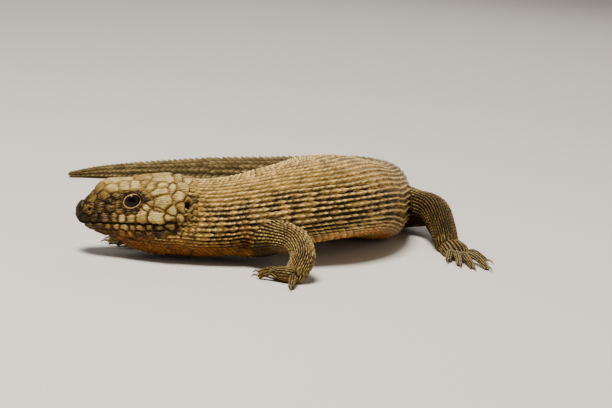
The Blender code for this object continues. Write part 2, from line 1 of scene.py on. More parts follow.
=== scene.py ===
"""Looks of the Cunningham's skink: skin, head shields, keeled scales, eyes and claws.

Sizes are in millimetres, places in the model's frame: the animal faces -X, its left side
faces -Y, and the floor is z = 0. Meshes are made in metres.
"""

import math

import bmesh
import bpy
import numpy as np
from mathutils import Matrix, Vector
from mathutils.kdtree import KDTree


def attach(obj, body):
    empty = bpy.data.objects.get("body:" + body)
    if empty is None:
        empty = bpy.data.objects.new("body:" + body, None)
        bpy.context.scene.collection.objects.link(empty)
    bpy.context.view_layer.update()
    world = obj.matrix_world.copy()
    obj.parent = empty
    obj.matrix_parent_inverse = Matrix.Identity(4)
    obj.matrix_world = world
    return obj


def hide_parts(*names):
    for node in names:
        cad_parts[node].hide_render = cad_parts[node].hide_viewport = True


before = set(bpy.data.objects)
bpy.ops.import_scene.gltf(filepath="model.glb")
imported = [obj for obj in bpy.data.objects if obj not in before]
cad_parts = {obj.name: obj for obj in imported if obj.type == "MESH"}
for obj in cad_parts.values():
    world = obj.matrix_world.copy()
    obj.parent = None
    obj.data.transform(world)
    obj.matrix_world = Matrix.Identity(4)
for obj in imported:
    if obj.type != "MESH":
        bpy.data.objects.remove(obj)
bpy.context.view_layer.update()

MM = 0.001
TURN = 2.0 * math.pi
CHANCE = np.random.default_rng(11)

# The body's plan, the same as the solids': length from the snout's tip, heading in degrees
SPINE_TURNS = np.array((
    (0, 8), (42, 8), (60, 17), (76, 32), (92, 47), (108, 62), (124, 72), (170, 75),
    (206, 80), (228, 112), (252, 168), (268, 194), (296, 189), (352, 187), (372, 204), (378, 207),
), float)
TOTAL_LENGTH = 378
BELLY_REST = 176
# The sheet of the body runs from the throat to the tail's end
THROAT_FROM = 22.0
TAIL_END = 377.4
# Before this length the sections are the head's, and over these the head turns into the neck
NECK_FROM = 44.0
HEAD_TO_NECK = (40.0, 48.0)
# Where the belly is fullest, how far to each side that reaches, and how square it is there
BELLY_FULL = 148.0
BELLY_REACH = 26.0
BELLY_SQUARE = 0.26

# Sections: length from the snout's tip, half width, lowest and highest point
BODY_SIZES = np.array((
    (44, 16.0, 1.7, 32.0), (48, 15.4, 1.9, 31.6), (56, 15.4, 2.2, 32.4), (66, 16.6, 3.4, 34.4),
    (76, 18.8, 5.2, 36.6), (88, 22.0, 6.8, 37.9), (100, 25.2, 7.4, 38.6), (115, 27.6, 6.2, 38.8),
    (130, 27.6, 2.8, 37.2), (142, 26.2, -0.3, 34.8), (160, 22.8, -0.5, 31.0), (176, 19.4, -0.6, 27.4),
    (190, 16.8, -0.6, 25.0), (204, 14.2, -0.5, 22.6), (220, 12.2, -0.4, 20.4), (236, 10.6, -0.4, 18.6),
    (252, 9.2, -0.4, 16.8), (272, 7.9, -0.3, 15.0), (296, 6.7, -0.3, 13.4), (312, 6.0, -0.3, 12.2),
    (332, 5.0, -0.3, 9.8), (352, 3.9, -0.2, 7.2), (366, 2.8, -0.2, 5.2), (377.4, 1.3, 0.0, 2.8),
))
HEAD_SIZES = np.array((
    (0.15, 1.9, 15.2, 18.0), (0.8, 3.3, 14.2, 19.2), (2.0, 4.7, 12.9, 20.5), (3.8, 6.3, 11.6, 21.8),
    (6.0, 7.4, 10.3, 23.9), (8.0, 8.2, 9.4, 27.6), (10.0, 8.8, 8.8, 29.2), (12.0, 9.2, 8.1, 30.1),
    (16.0, 10.3, 6.6, 30.4), (20.0, 11.7, 4.8, 30.6), (25.0, 13.5, 3.1, 31.9), (30.0, 15.1, 2.1, 32.7),
    (35.0, 16.2, 1.6, 32.9), (40.0, 16.4, 1.6, 32.5), (44.0, 16.0, 1.7, 32.0), (48.0, 15.4, 1.9, 31.6),
))
MOUTH_LINE = np.array((
    (0, 13.4), (4, 13.8), (11, 14.3), (20, 14.9), (28, 15.8), (34, 16.4), (38.5, 18.3), (48, 19.5),
))
MOUTH_CORNER = 38.5
MOUTH_GROOVE = 0.75
LIP_LEAST = 0.6
# How many points half a section of the head has
CHIN_POINTS, LIP_POINTS, FACE_POINTS = 62, 7, 90

EYE_AT = 21.4
EYE_HEIGHT = 23.5
EYE_RADIUS = 4.0
EYE_DEPTH = 3.0
EYE_TILT = 0.16
SOCKET_DEEP = 4.6
LID_LONG = 3.45
LID_TALL = 2.6
LID_SLOPE = 24.0
LID_BEAD = 0.31
NOSTRIL_AT = 5.2
NOSTRIL_HEIGHT = 18.8
NOSTRIL_RADIUS = 0.75
NOSTRIL_DEEP = 0.9
NOSTRIL_RINGS = 0.85
FORE_CLAW = 3.5
HIND_CLAW = 4.2
EAR_AT = 43.0
EAR_HEIGHT = 24.2
EAR_TALL = 4.2
EAR_WIDE = 2.6
EAR_DEEP = 2.3

# Real sizes of the coat. The skin lies this far under the sheets, from behind the head on
SKIN_UNDER = 0.48
SKIN_FROM = 46.0
SKIN_GRAIN = 0.7
# Flesh swells out over this reach where a limb runs into the body
MELT_REACH = 8.0
# Nothing comes closer to the floor
FLOOR_GAP = 0.06
BODY_ROWS = 52
BODY_SCALE = 2.55
# A scale's length in steps along its row, and its half width in steps from row to row
SCALE_COVER = 1.38
SCALE_WIDE = 0.60
# How deep a back scale's root lies, how far its sides droop, and how deep its skirt hangs
SCALE_SINK = 0.34
SCALE_DROOP = 0.38
SCALE_SKIRT = 0.26
# Legs: rows round, how far each scale shows, the foot's length, and how much painted shade darkens leg and
# foot
FORE_COAT = (32, 1.75, 12.0, 0.15, 0.2)
HIND_COAT = (34, 1.9, 16.0, 0.55, 0.45)
# Scales of the leg and of the foot: size beside a back scale's, tip's rise, keel
LEG_SCALE = (0.6, 0.30, 0.20)
FOOT_SCALE = (0.45, 0.18, 0.08)
# Where the coat begins behind the head's shields: degrees from under the belly, and length
COAT_FROM = ((0, 40, 64, 74, 80, 90, 98, 106, 134, 141, 180),
             (23, 23, 24.5, 29, 37.5, 39.5, 41.5, 45, 45, 41.5, 41))
COAT_PIECES = (
    ("scales_throat", 22.0, 60.0), ("scales_neck", 60.0, 96.0),
    ("scales_chest", 96.0, 132.0), ("scales_hips", 132.0, 200.0),
)
# On the hips and the tail: from, to, how many rows round, and how far each scale shows
TAIL_COAT = (
    (172, 189, 44, 2.8), (189, 206, 37, 2.9), (206, 228, 30, 3.0), (228, 262, 23, 3.1),
    (262, 310, 17, 2.9), (310, 345, 13, 2.6), (345, 377.6, 10, 2.2),
)
# The skin folds inwards just before the shoulder
FOLD_AT = 63.5
FOLD_DEPTH = 1.5
# Length from the snout's tip, and how far each row shows there
SCALE_LENGTHS = np.array(((22, 1.5), (46, 1.75), (74, 2.25), (96, 2.55), (200, 2.65)))
SHELL_STEP = 0.3
HEAD_END = 49.0

# Some of the columns of the next table
HALF_LENGTH, HALF_HEIGHT, TONE, BACK_RISE = 3, 4, 5, 7
# Head shields of the left side, the right side being its mirror image:
# length from the snout's tip, distance from the middle, height, half length, half height,
# tone from 0 (brown-black) to 1 (cream), slope in degrees, rise of its back edge
SHIELDS = (
    # rostral, nasal, and the shields of the snout's top
    (0.8, 0.0, 16.9, 2.0, 4.4, 0.00, 0, 0.0), (5.2, 5.9, 18.5, 2.7, 2.5, 0.18, 0, 0.0),
    (5.6, 4.3, 22.6, 2.3, 1.6, 0.42, 10, 0.1), (5.4, 0.0, 24.0, 2.4, 2.8, 0.38, 20, 0.1),
    (8.6, 2.6, 27.0, 2.2, 2.2, 0.50, 30, 0.1), (10.4, 7.1, 24.3, 1.9, 1.8, 0.36, 30, 0.1),
    (13.0, 0.0, 30.2, 5.0, 3.4, 0.68, 0, 0.1), (13.6, 6.2, 28.0, 2.4, 1.7, 0.70, 10, 0.1),
    (18.0, 6.4, 29.9, 2.2, 2.3, 0.80, 0, 0.1), (22.2, 6.8, 30.6, 2.1, 2.5, 0.72, 0, 0.1),
    (25.8, 7.2, 31.2, 1.8, 2.3, 0.76, 0, 0.1),
    # superciliaries over the eye
    (16.2, 8.8, 27.2, 1.3, 0.9, 0.60, 5, 0.1), (18.6, 9.7, 27.9, 1.3, 0.9, 0.78, 5, 0.1),
    (21.0, 10.3, 28.3, 1.3, 0.9, 0.82, 0, 0.1), (23.4, 10.8, 28.3, 1.3, 0.9, 0.74, 0, 0.1),
    (25.6, 11.4, 27.9, 1.2, 0.9, 0.62, -8, 0.1),
    # loreals and preoculars
    (8.9, 7.8, 20.3, 1.8, 2.1, 0.24, 0, 0.1), (12.4, 8.9, 20.3, 1.9, 1.6, 0.16, 0, 0.1),
    (12.9, 8.6, 22.9, 1.7, 1.3, 0.14, 10, 0.1), (14.9, 8.5, 24.9, 1.9, 1.3, 0.10, 15, 0.1),
    (16.1, 9.7, 22.2, 0.8, 1.5, 0.58, 0, 0.0),
    # upper labials, then the thin strip at the corner of the mouth
    (3.7, 5.9, 15.7, 1.9, 1.5, 0.10, 0, 0.1), (7.3, 7.5, 16.2, 1.8, 1.7, 0.16, 0, 0.1),
    (11.0, 8.9, 16.4, 1.9, 1.7, 0.34, 0, 0.1), (14.5, 10.0, 16.7, 1.5, 1.6, 0.36, 0, 0.1),
    (17.7, 10.9, 17.1, 1.5, 1.5, 0.70, 0, 0.1), (21.0, 12.0, 17.3, 1.7, 1.4, 0.50, 0, 0.1),
    (25.2, 13.4, 18.8, 2.0, 2.5, 0.80, 20, 0.3), (30.6, 15.2, 18.8, 3.4, 2.2, 0.86, 8, 0.4),
    (35.4, 16.2, 19.3, 1.9, 1.3, 0.82, 10, 0.2), (37.4, 16.4, 17.9, 1.9, 0.7, 0.78, 15, 0.1),
    # under the eye, behind it, and the temporal shields
    (16.8, 10.4, 19.5, 1.4, 1.0, 0.46, 0, 0.0), (19.8, 11.4, 19.5, 1.5, 0.9, 0.28, 0, 0.0),
    (22.8, 12.4, 20.1, 1.5, 0.9, 0.40, 10, 0.0), (27.2, 12.4, 26.2, 1.4, 1.3, 0.34, 0, 0.1),
    (28.2, 13.2, 24.0, 1.5, 1.1, 0.48, -10, 0.1), (26.4, 13.3, 22.2, 1.7, 1.1, 0.92, -30, 0.2),
    (33.2, 14.6, 25.2, 3.2, 3.0, 0.74, 0, 0.5), (32.0, 12.4, 28.8, 3.4, 1.6, 0.86, 12, 0.3),
    (27.8, 9.2, 30.4, 2.2, 2.0, 0.70, 20, 0.1), (32.6, 9.6, 31.4, 2.5, 1.7, 0.76, 0, 0.2),
    (36.7, 11.2, 30.7, 1.6, 2.6, 0.74, -25, 0.3), (38.4, 14.0, 27.6, 1.5, 2.7, 0.68, -25, 0.3),
    (36.3, 16.0, 22.2, 2.0, 1.9, 0.88, 35, 0.4), (31.6, 15.2, 22.1, 2.5, 0.9, 0.58, -8, 0.3),
    (39.6, 16.1, 23.4, 1.2, 1.9, 0.56, 30, 0.3), (39.9, 16.4, 19.2, 1.4, 1.6, 0.44, 0, 0.3),
    # the crown
    (26.0, 2.8, 32.2, 2.8, 2.7, 0.60, 0, 0.1), (31.0, 0.0, 33.0, 3.4, 1.7, 0.52, 0, 0.1),
    (33.4, 4.9, 33.0, 4.3, 3.2, 0.62, 0, 0.2), (39.2, 3.4, 33.3, 1.9, 3.6, 0.56, 0, 0.3),
    (39.8, 9.4, 32.0, 1.9, 2.6, 0.60, 0, 0.3), (42.8, 3.0, 33.2, 1.7, 3.2, 0.54, 0, 0.3),
    # lower labials and the row under them
    (5.4, 7.0, 12.2, 1.9, 1.2, 0.14, 0, 0.1), (9.2, 8.1, 12.8, 1.8, 1.2, 0.40, 0, 0.1),
    (12.6, 8.9, 12.9, 1.5, 1.2, 0.62, 0, 0.1), (15.7, 9.8, 13.1, 1.5, 1.2, 0.66, 0, 0.1),
    (19.0, 10.9, 13.5, 1.7, 1.2, 0.84, 0, 0.1), (22.0, 11.9, 13.7, 1.4, 1.2, 0.70, 0, 0.1),
    (25.0, 12.9, 14.2, 1.6, 1.2, 0.76, 0, 0.1), (28.4, 14.0, 14.6, 1.7, 1.2, 0.74, 0, 0.1),
    (32.2, 15.0, 15.2, 2.0, 1.1, 0.70, 5, 0.2), (35.6, 15.7, 16.0, 1.6, 1.0, 0.55, 10, 0.2),
    (7.4, 6.6, 10.2, 2.0, 1.3, 0.14, 0, 0.1), (11.2, 7.9, 10.3, 1.9, 1.4, 0.18, 0, 0.1),
    (14.8, 9.0, 10.6, 1.8, 1.4, 0.22, 0, 0.1), (18.4, 10.2, 11.0, 1.7, 1.3, 0.56, 0, 0.1),
    (21.4, 11.1, 10.8, 1.5, 1.3, 0.50, 0, 0.1), (25.0, 12.3, 11.2, 1.8, 1.4, 0.26, 0, 0.1),
    (29.0, 13.5, 11.7, 1.8, 1.4, 0.28, 0, 0.1), (33.0, 14.6, 12.2, 1.8, 1.5, 0.26, 0, 0.1),
    # the chin
    (2.0, 0.0, 13.0, 1.9, 3.0, 0.06, 0, 0.0), (5.8, 0.0, 10.4, 2.4, 3.6, 0.22, 0, 0.0),
    (10.6, 3.4, 8.6, 2.8, 2.9, 0.30, 0, 0.0), (16.0, 4.0, 6.6, 2.9, 3.0, 0.34, 0, 0.0),
    (21.4, 4.6, 4.8, 2.8, 3.1, 0.36, 0, 0.0), (12.8, 7.0, 8.4, 2.2, 1.5, 0.20, 0, 0.0),
    (17.2, 8.4, 7.6, 2.2, 1.6, 0.22, 0, 0.0), (21.6, 9.6, 7.2, 2.2, 1.7, 0.22, 0, 0.0),
)

# Legs, in mm from under the left palm: x, y, z, half width, half height.
# Toes: root, direction in degrees, reach, half thickness
SNOUT_FROM_PALM = np.array((-84.5, 19.5))
LEGS = {
    "fore_left": (
        ((-16.0, 31.0, 11.4, 7.6, 7.2), (-10.0, 23.0, 12.0, 7.2, 6.8), (-3.0, 15.5, 13.8, 6.0, 6.0),
         (3.0, 9.4, 13.8, 5.4, 5.4), (6.0, 4.0, 9.6, 4.9, 4.7), (4.4, -0.2, 4.6, 4.5, 3.6)),
        ((6.2, -1.2, 1.8, 2.0, 1.4), (4.6, -1.2, 2.4, 4.3, 2.4), (2.0, -0.9, 2.6, 4.8, 2.6),
         (-0.8, -0.1, 2.3, 5.0, 2.2), (-3.0, 1.4, 1.8, 3.6, 1.5)),
        (((0.8, 2.4, 1.7), 106, 7.0, 1.32), ((-1.4, 2.6, 2.1), 124, 9.0, 1.46),
         ((-2.7, 1.4, 1.9), 142, 9.6, 1.5), ((-2.6, -0.8, 1.8), 165, 7.8, 1.44),
         ((3.2, -2.2, 1.9), 266, 9.6, 1.5)),
        ("upper_arm_left", "forearm_left", "hand_left"),
    ),
    "fore_right": (
        ((-14.0, 38.0, 14.6, 7.6, 7.4), (-21.5, 48.0, 15.2, 6.6, 6.6), (-30.0, 55.0, 14.6, 5.6, 5.8),
         (-37.0, 56.6, 11.6, 4.9, 5.0), (-44.5, 52.6, 7.2, 4.6, 4.4), (-49.5, 48.6, 4.6, 4.6, 3.4)),
        ((-48.6, 48.8, 1.8, 2.0, 1.4), (-50.4, 47.6, 2.5, 4.4, 2.5), (-53.0, 46.0, 2.8, 5.0, 2.7),
         (-56.4, 43.8, 2.3, 5.4, 2.2), (-59.0, 42.4, 1.8, 3.8, 1.5)),
        (((-57.0, 40.8, 1.8), 226, 8.5, 1.45), ((-58.6, 40.8, 2.0), 208, 11.5, 1.5),
         ((-59.4, 42.0, 2.0), 194, 13.5, 1.5), ((-59.2, 43.8, 1.9), 180, 12.5, 1.5),
         ((-56.6, 46.0, 1.8), 152, 9.0, 1.5)),
        ("upper_arm_right", "forearm_right", "hand_right"),
    ),
    "hind_left": (
        ((30.0, 128.0, 9.0, 9.0, 8.4), (43.0, 121.0, 9.0, 9.0, 8.2), (53.6, 113.0, 10.6, 8.2, 8.0),
         (60.2, 102.0, 12.0, 7.1, 7.1), (63.4, 90.4, 9.0, 6.0, 5.8), (65.6, 79.2, 4.8, 5.2, 4.0)),
        ((65.8, 80.2, 1.9, 2.2, 1.5), (66.4, 77.8, 2.8, 4.6, 2.7), (67.8, 74.4, 3.1, 5.2, 3.0),
         (69.4, 69.8, 2.5, 5.6, 2.4), (70.8, 66.2, 1.9, 4.4, 1.6)),
        (((67.2, 67.2, 1.8), 261, 9.0, 1.5), ((68.8, 65.4, 2.0), 276, 13.0, 1.55),
         ((70.8, 64.8, 2.0), 287, 16.0, 1.55), ((72.6, 66.2, 2.0), 299, 18.5, 1.55),
         ((73.4, 69.8, 1.9), 323, 10.5, 1.5)),
        ("thigh_left", "shin_left", "foot_left"),
    ),
    "hind_right": (
        ((28.0, 131.0, 9.4, 9.0, 8.8), (16.0, 137.0, 9.2, 8.8, 8.6), (4.5, 140.4, 9.8, 8.2, 8.0),
         (-6.0, 139.6, 11.0, 7.2, 7.2), (-12.6, 133.4, 8.0, 6.0, 5.8), (-16.0, 126.0, 4.8, 5.2, 4.2)),
        ((-15.2, 127.0, 1.9, 2.2, 1.5), (-16.2, 125.2, 2.8, 4.6, 2.7), (-18.0, 122.2, 3.1, 5.2, 3.0),
         (-20.6, 118.2, 2.5, 5.8, 2.4), (-23.8, 114.8, 1.9, 4.4, 1.6)),
        (((-20.0, 113.6, 1.8), 250, 9.0, 1.5), ((-22.0, 113.4, 2.0), 236, 13.0, 1.55),
         ((-24.4, 113.8, 2.0), 222, 18.5, 1.55), ((-25.8, 115.8, 2.0), 210, 21.0, 1.55),
         ((-23.8, 119.4, 1.9), 178, 11.5, 1.5)),
        ("thigh_right", "shin_right", "foot_right"),
    ),
}

# Back, olive, pale, dark, belly, and the dusk colour that painted shade and darkening multiply in
BODY_COLOURS = ("cc9e54", "96733a", "f0d48c", "160d05", "a05c16", "9c763a")
LEG_COLOURS = ("a08246", "765a2c", "d2b878", "1c1004", "6c4a1c", "64502c")
TAIL_COLOURS = ("a4926c", "86744e", "b8a680", "564830", "7a5a30", "aca080")
# The part of the bake map that one coat piece takes: left, low, wide, tall
WHOLE_MAP = (0.02, 0.02, 0.96, 0.96)

# Half the floor's width in mm; each light's place in metres, watts, width and colour
FLOOR_HALF = 6000.0
LIGHTS = (
    ("main_light", (-0.22, -0.34, 0.95), 19.0, 0.34, (1.0, 0.96, 0.88)),
    ("side_light", (0.65, -0.55, 0.35), 1.0, 0.8, (1.0, 0.96, 0.90)),
    ("back_light", (0.10, 0.80, 0.60), 2.5, 0.7, (1.0, 0.98, 0.94)),
)
LIGHTS_AIM = (0.0, 0.0, 0.02)
# The camera, found from where marks of the animal lie in the picture of 612 by 408
CAMERA_DOWN = 11.5
CAMERA_ROLL = 5.0
CAMERA_PIXELS = 2080.0
CAMERA_AWAY = 800.0
PICTURE = (612.0, 408.0)
PALM_PIXEL = (285.0, 282.0)


def smoothly(value, low, high):
    """0 at low, 1 at high and a soft rise between them; low may be the larger one."""
    share = np.clip((value - low) / (high - low), 0.0, 1.0)
    return share * share * (3.0 - 2.0 * share)


def bump(value, middle, width):
    return np.exp(-((value - middle) / width) ** 2)


def size_at(table, s, column):
    return np.interp(s, table[:, 0], table[:, column])


def soft_size(table, s, column, reach=3.0):
    steps = (-1.0, -0.5, 0.0, 0.5, 1.0)
    return sum(size_at(table, s + reach * step, column) for step in steps) / len(steps)


def heading(s):
    i = np.clip(np.searchsorted(SPINE_TURNS[:, 0], s, side="right") - 1, 0, len(SPINE_TURNS) - 2)
    low, high = SPINE_TURNS[i], SPINE_TURNS[i + 1]
    share = smoothly(s, low[..., 0], high[..., 0])
    return np.radians(low[..., 1] + (high[..., 1] - low[..., 1]) * share)


def walk_spine():
    turns = heading(np.arange(TOTAL_LENGTH) + 0.5)
    steps = np.stack((np.cos(turns), np.sin(turns)), axis=1)
    points = np.vstack(((0.0, 0.0), np.cumsum(steps, axis=0)))
    return points - points[BELLY_REST]


SPINE = walk_spine()
PALM_TO_REST = SNOUT_FROM_PALM - SPINE[0]


def from_spine(s, left, height):
    """Places in mm: length along the spine, distance to the animal's left, height."""
    s, left, height = np.broadcast_arrays(np.asarray(s, float), left, height)
    turn = heading(s)
    marks = np.arange(len(SPINE))
    x = np.interp(s, marks, SPINE[:, 0]) + np.sin(turn) * left
    y = np.interp(s, marks, SPINE[:, 1]) - np.cos(turn) * left
    return np.stack((x, y, height), axis=-1)


def from_palm(points):
    points = np.array(points, float)
    points[:, :2] -= PALM_TO_REST
    return points


def low_side(angle):
    """Degrees from the middle of the belly, which are the same on the left and the right."""
    return np.degrees(np.abs((angle + math.pi) % TURN - math.pi))


def at_fold(s, side, width):
    """How strong the skin's fold before the shoulder is."""
    return bump(s, FOLD_AT, width) * smoothly(side, 44.0, 60.0) * smoothly(side, 104.0, 84.0)


def round_body(s, angle):
    """Points of the neck, trunk and tail; angle 0 is under the belly, a quarter turn is the left."""
    s, angle = np.broadcast_arrays(np.asarray(s, float), angle)
    half, low, high = (
        np.where(s < NECK_FROM, size_at(HEAD_SIZES, s, column), soft_size(BODY_SIZES, s, column))
        for column in (1, 2, 3)
    )
    axis = low + (high - low) * 0.44
    side, up = np.sin(angle), -np.cos(angle)
    reach_up = np.where(up > 0, high - axis, axis - low)
    square = BELLY_SQUARE * bump(s, BELLY_FULL, BELLY_REACH)
    x = half * np.sign(side) * np.abs(side) ** np.where(up < 0, 0.80 - square, 0.92)
    z = reach_up * np.sign(up) * np.abs(up) ** np.where(up < 0, 0.86 - square, 0.97)
    return from_spine(s, x, np.maximum(axis + z, 0.0))


def round_angles(count):
    return np.arange(count) * TURN / count


def grid_of(first, second):
    return np.meshgrid(first, second, indexing="ij")


def spread(x, z, count):
    """The same line with its points spread evenly along it."""
    length = np.concatenate(((0.0,), np.cumsum(np.hypot(np.diff(x), np.diff(z)))))
    marks = np.linspace(0.0, length[-1], count)
    return np.interp(marks, length, x), np.interp(marks, length, z)


def head_profile(u):
    """Left half of a section of the head, from the middle of the chin up to the crown."""
    reach = min(1.2, 0.15 * u)
    half, low, high = (soft_size(HEAD_SIZES, u, column, reach) for column in (1, 2, 3))
    mouth = max(size_at(MOUTH_LINE, u, 1), low + LIP_LEAST)
    closing = float(np.clip((MOUTH_CORNER + 1.0 - u) / 3.0, 0.0, 1.0))
    groove = MOUTH_GROOVE * closing * min(1.0, half / 6.0)
    lip = 0.45 * closing + 0.06
    angle = np.linspace(0.0, math.pi / 2.0, 90)
    sine, cosine = np.sin(angle), np.abs(np.cos(angle))
    chin_z = mouth - lip - (mouth - lip - low) * cosine ** 0.90
    chin = spread(half * 0.965 * sine ** 0.84, chin_z, CHIN_POINTS)
    face_z = mouth + lip + (high - mouth - lip) * sine ** 0.93
    brow = 0.55 * bump(u, 21.0, 5.5) * bump(face_z, 28.0, 2.0)
    cheek = 0.35 * bump(u, 34.0, 5.0) * bump(face_z, 22.0, 4.0)
    face_x = half * cosine ** 0.72 + (brow + cheek) * np.minimum(1.0, cosine * 3.0)
    face = spread(face_x, face_z, FACE_POINTS)
    share = np.linspace(0.0, 1.0, LIP_POINTS + 2)[1:-1]
    inward = np.sin(math.pi * share) ** 0.8
    lip_x = chin[0][-1] + (face[0][0] - chin[0][-1]) * share - groove * inward
    lip_z = chin[1][-1] + (face[1][0] - chin[1][-1]) * share
    return np.concatenate((chin[0], lip_x, face[0])), np.concatenate((chin[1], lip_z, face[1]))


def own_section(u):
    """A section of the head alone, closed round."""
    x, z = head_profile(u)
    return from_spine(u, np.concatenate((x, -x[-2:0:-1])), np.concatenate((z, z[-2:0:-1])))


def neck_share(u):
    """How far the head has turned into the neck, from 0 to 1."""
    start, end = HEAD_TO_NECK
    return min(1.0, max(0.0, (u - start) / (end - start)))


def nearest(points, targets):
    gaps = ((points[:, None] - targets[None]) ** 2).sum(axis=2)
    return targets[gaps.argmin(axis=1)]


def head_section(u):
    """A whole section of the head, which takes the neck's shape at its back."""
    ring = own_section(u)
    blend = neck_share(u)
    if blend > 0.0:
        ring = ring + (nearest(ring, round_body(u, np.linspace(0.0, TURN, 720))) - ring) * blend
    return ring


class Sheet:
    """A surface closed round itself that scales lie on: rows of points and how far along each row is."""

    def __init__(self, rows, points):
        self.rows = np.asarray(rows, float)
        self.points = points
        along = np.gradient(points, axis=0)
        around = np.roll(points, -1, axis=1) - np.roll(points, 1, axis=1)
        normals = np.cross(around, along)
        normals /= np.maximum(np.linalg.norm(normals, axis=2, keepdims=True), 1e-9)
        outward = ((points - points.mean(axis=1, keepdims=True)) * normals).sum()
        self.normals = normals if outward > 0 else -normals

    def blend(self, values, along, angle):
        rows, columns = self.points.shape[:2]
        r = np.clip(np.interp(along, self.rows, np.arange(rows)), 0, rows - 1.001)
        c = (angle / TURN * columns) % columns
        r0, c0 = r.astype(int), c.astype(int) % columns
        c1 = (c0 + 1) % columns
        fr, fc = (r - r0)[..., None], (c - np.floor(c))[..., None]
        near = values[r0, c0] * (1 - fc) + values[r0, c1] * fc
        far = values[r0 + 1, c0] * (1 - fc) + values[r0 + 1, c1] * fc
        return near * (1 - fr) + far * fr

    def at(self, along, angle, lift=0.0, floor=FLOOR_GAP):
        lift = np.asarray(lift, float)[..., None] if np.ndim(lift) else lift
        place = self.blend(self.points, along, angle) + self.blend(self.normals, along, angle) * lift
        place[..., 2] = np.maximum(place[..., 2], floor)
        return place

    def normal(self, along, angle):
        return self.blend(self.normals, along, angle)


def body_sheet():
    """Neck, trunk and tail, with the throat in front of them lying on the head."""
    rows = (np.arange(THROAT_FROM, 60.0, 0.8), np.arange(60.0, TAIL_END - 0.4, 1.0), (TAIL_END,))
    rows = np.concatenate(rows)
    angles = round_angles(120)
    points = []
    for s in rows:
        ring = round_body(s, angles)
        if s < HEAD_TO_NECK[1]:
            on_head = nearest(ring, own_section(s))
            ring = on_head + (ring - on_head) * neck_share(s)
        fold = FOLD_DEPTH * at_fold(s, low_side(angles), 2.4)
        middle = ring.mean(axis=0)
        ring = middle + (ring - middle) * (1.0 - fold / 16.0)[:, None]
        points.append(ring)
    # Past its last section the tail closes to a blunt point
    end = points[-1]
    middle = end.mean(axis=0)
    ahead = middle - points[-2].mean(axis=0)
    ahead /= np.linalg.norm(ahead)
    tip = ((0.5, 0.85), (0.9, 0.55), (1.2, 0.12))
    points.extend(middle + ahead * further + (end - middle) * share for further, share in tip)
    rows = np.concatenate((rows, [rows[-1] + further for further, _ in tip]))
    return Sheet(rows, np.array(points))


def curve(points, count):
    """Points along a smooth curve through the given ones."""
    points = np.asarray(points, float)
    spans = len(points) - 1
    at = np.linspace(0.0, spans, count)
    i = np.minimum(at.astype(int), spans - 1)
    t = (at - i)[:, None]
    a, b, c, d = (points[np.clip(i + k, 0, spans)] for k in (-1, 0, 1, 2))
    bend = (c - a) * t + (2 * a - 5 * b + 4 * c - d) * t ** 2 + (3 * b - a - 3 * c + d) * t ** 3
    return b + 0.5 * bend


def tube(points, sides=36, step=0.8, floor=FLOOR_GAP):
    """An oval tube as a sheet; its rows are lengths along it."""
    fine = curve(points, 80)
    length = np.concatenate(((0.0,), np.cumsum(np.linalg.norm(np.diff(fine[:, :3], axis=0), axis=1))))
    rows = np.linspace(0.0, length[-1], max(6, round(length[-1] / step)))
    fine = np.stack([np.interp(rows, length, fine[:, k]) for k in range(5)], axis=1)
    ahead = np.gradient(fine[:, :3], axis=0)
    ahead /= np.linalg.norm(ahead, axis=1, keepdims=True)
    across = np.cross(ahead[0], (0.0, 0.0, 1.0))
    angles = round_angles(sides)
    rings = []
    for place, way in zip(fine, ahead):
        across = across - way * across.dot(way)
        across /= np.linalg.norm(across)
        up = np.cross(across, way)
        wide = np.outer(np.cos(angles) * place[3], across)
        tall = np.outer(np.sin(angles) * place[4], up)
        ring = place[:3] + wide + tall
        ring[:, 2] = np.maximum(ring[:, 2], floor)
        rings.append(ring)
    return Sheet(rows, np.array(rings))


def toe_path(root, angle, reach, thick, claw, rise=1.6):
    """Root, knuckle and tip of a toe, and the point of its claw."""
    turn = math.radians(angle)
    x, y, z = root
    path = []
    for share, height, size in ((0.0, z, 1.0), (0.35, z + rise * 0.9, 1.0), (0.7, z + rise * 0.35, 0.92),
                                (1.0, thick * 0.62, 0.8)):
        path.append((x + math.cos(turn) * reach * share, y + math.sin(turn) * reach * share,
                     height, thick * size, thick * size * 0.95))
    path = from_palm(path)
    tip = path[-1, :3]
    point = tip + np.array((math.cos(turn) * claw, math.sin(turn) * claw, 0.0))
    point[2] = 0.3
    return path, point


def mesh_object(name, points, faces):
    """A mesh of quads or triangles from arrays, in mm."""
    mesh = bpy.data.meshes.new(name)
    corners = faces.shape[1]
    mesh.vertices.add(len(points))
    mesh.vertices.foreach_set("co", (points * MM).astype(np.float32).ravel())
    mesh.loops.add(faces.size)
    mesh.loops.foreach_set("vertex_index", faces.astype(np.int32).ravel())
    mesh.polygons.add(len(faces))
    mesh.polygons.foreach_set("loop_start", np.arange(len(faces), dtype=np.int32) * corners)
    mesh.update(calc_edges=True)
    mesh.validate()
    mesh.shade_smooth()
    obj = bpy.data.objects.new(name, mesh)
    bpy.context.scene.collection.objects.link(obj)
    return obj


def close_end(obj, triangles):
    """Add triangles that close the end of a mesh."""
    build = bmesh.new()
    build.from_mesh(obj.data)
    build.verts.ensure_lookup_table()
    for corners in triangles:
        build.faces.new([build.verts[k] for k in corners])
    bmesh.ops.recalc_face_normals(build, faces=build.faces)
    build.to_mesh(obj.data)
    build.free()
    obj.data.shade_smooth()


def join_into(name, objects):
    """Make one object of several."""
    bpy.ops.object.select_all(action="DESELECT")
    for obj in objects:
        obj.select_set(True)
    bpy.context.view_layer.objects.active = objects[0]
    bpy.ops.object.join()
    objects[0].name = name
    objects[0].data.name = name


def keep_values(obj, name, values):
    """Four numbers for each point, which the materials read by name."""
    layer = obj.data.attributes.new(name, "FLOAT_COLOR", "POINT")
    layer.data.foreach_set("color", values.astype(np.float32).ravel())


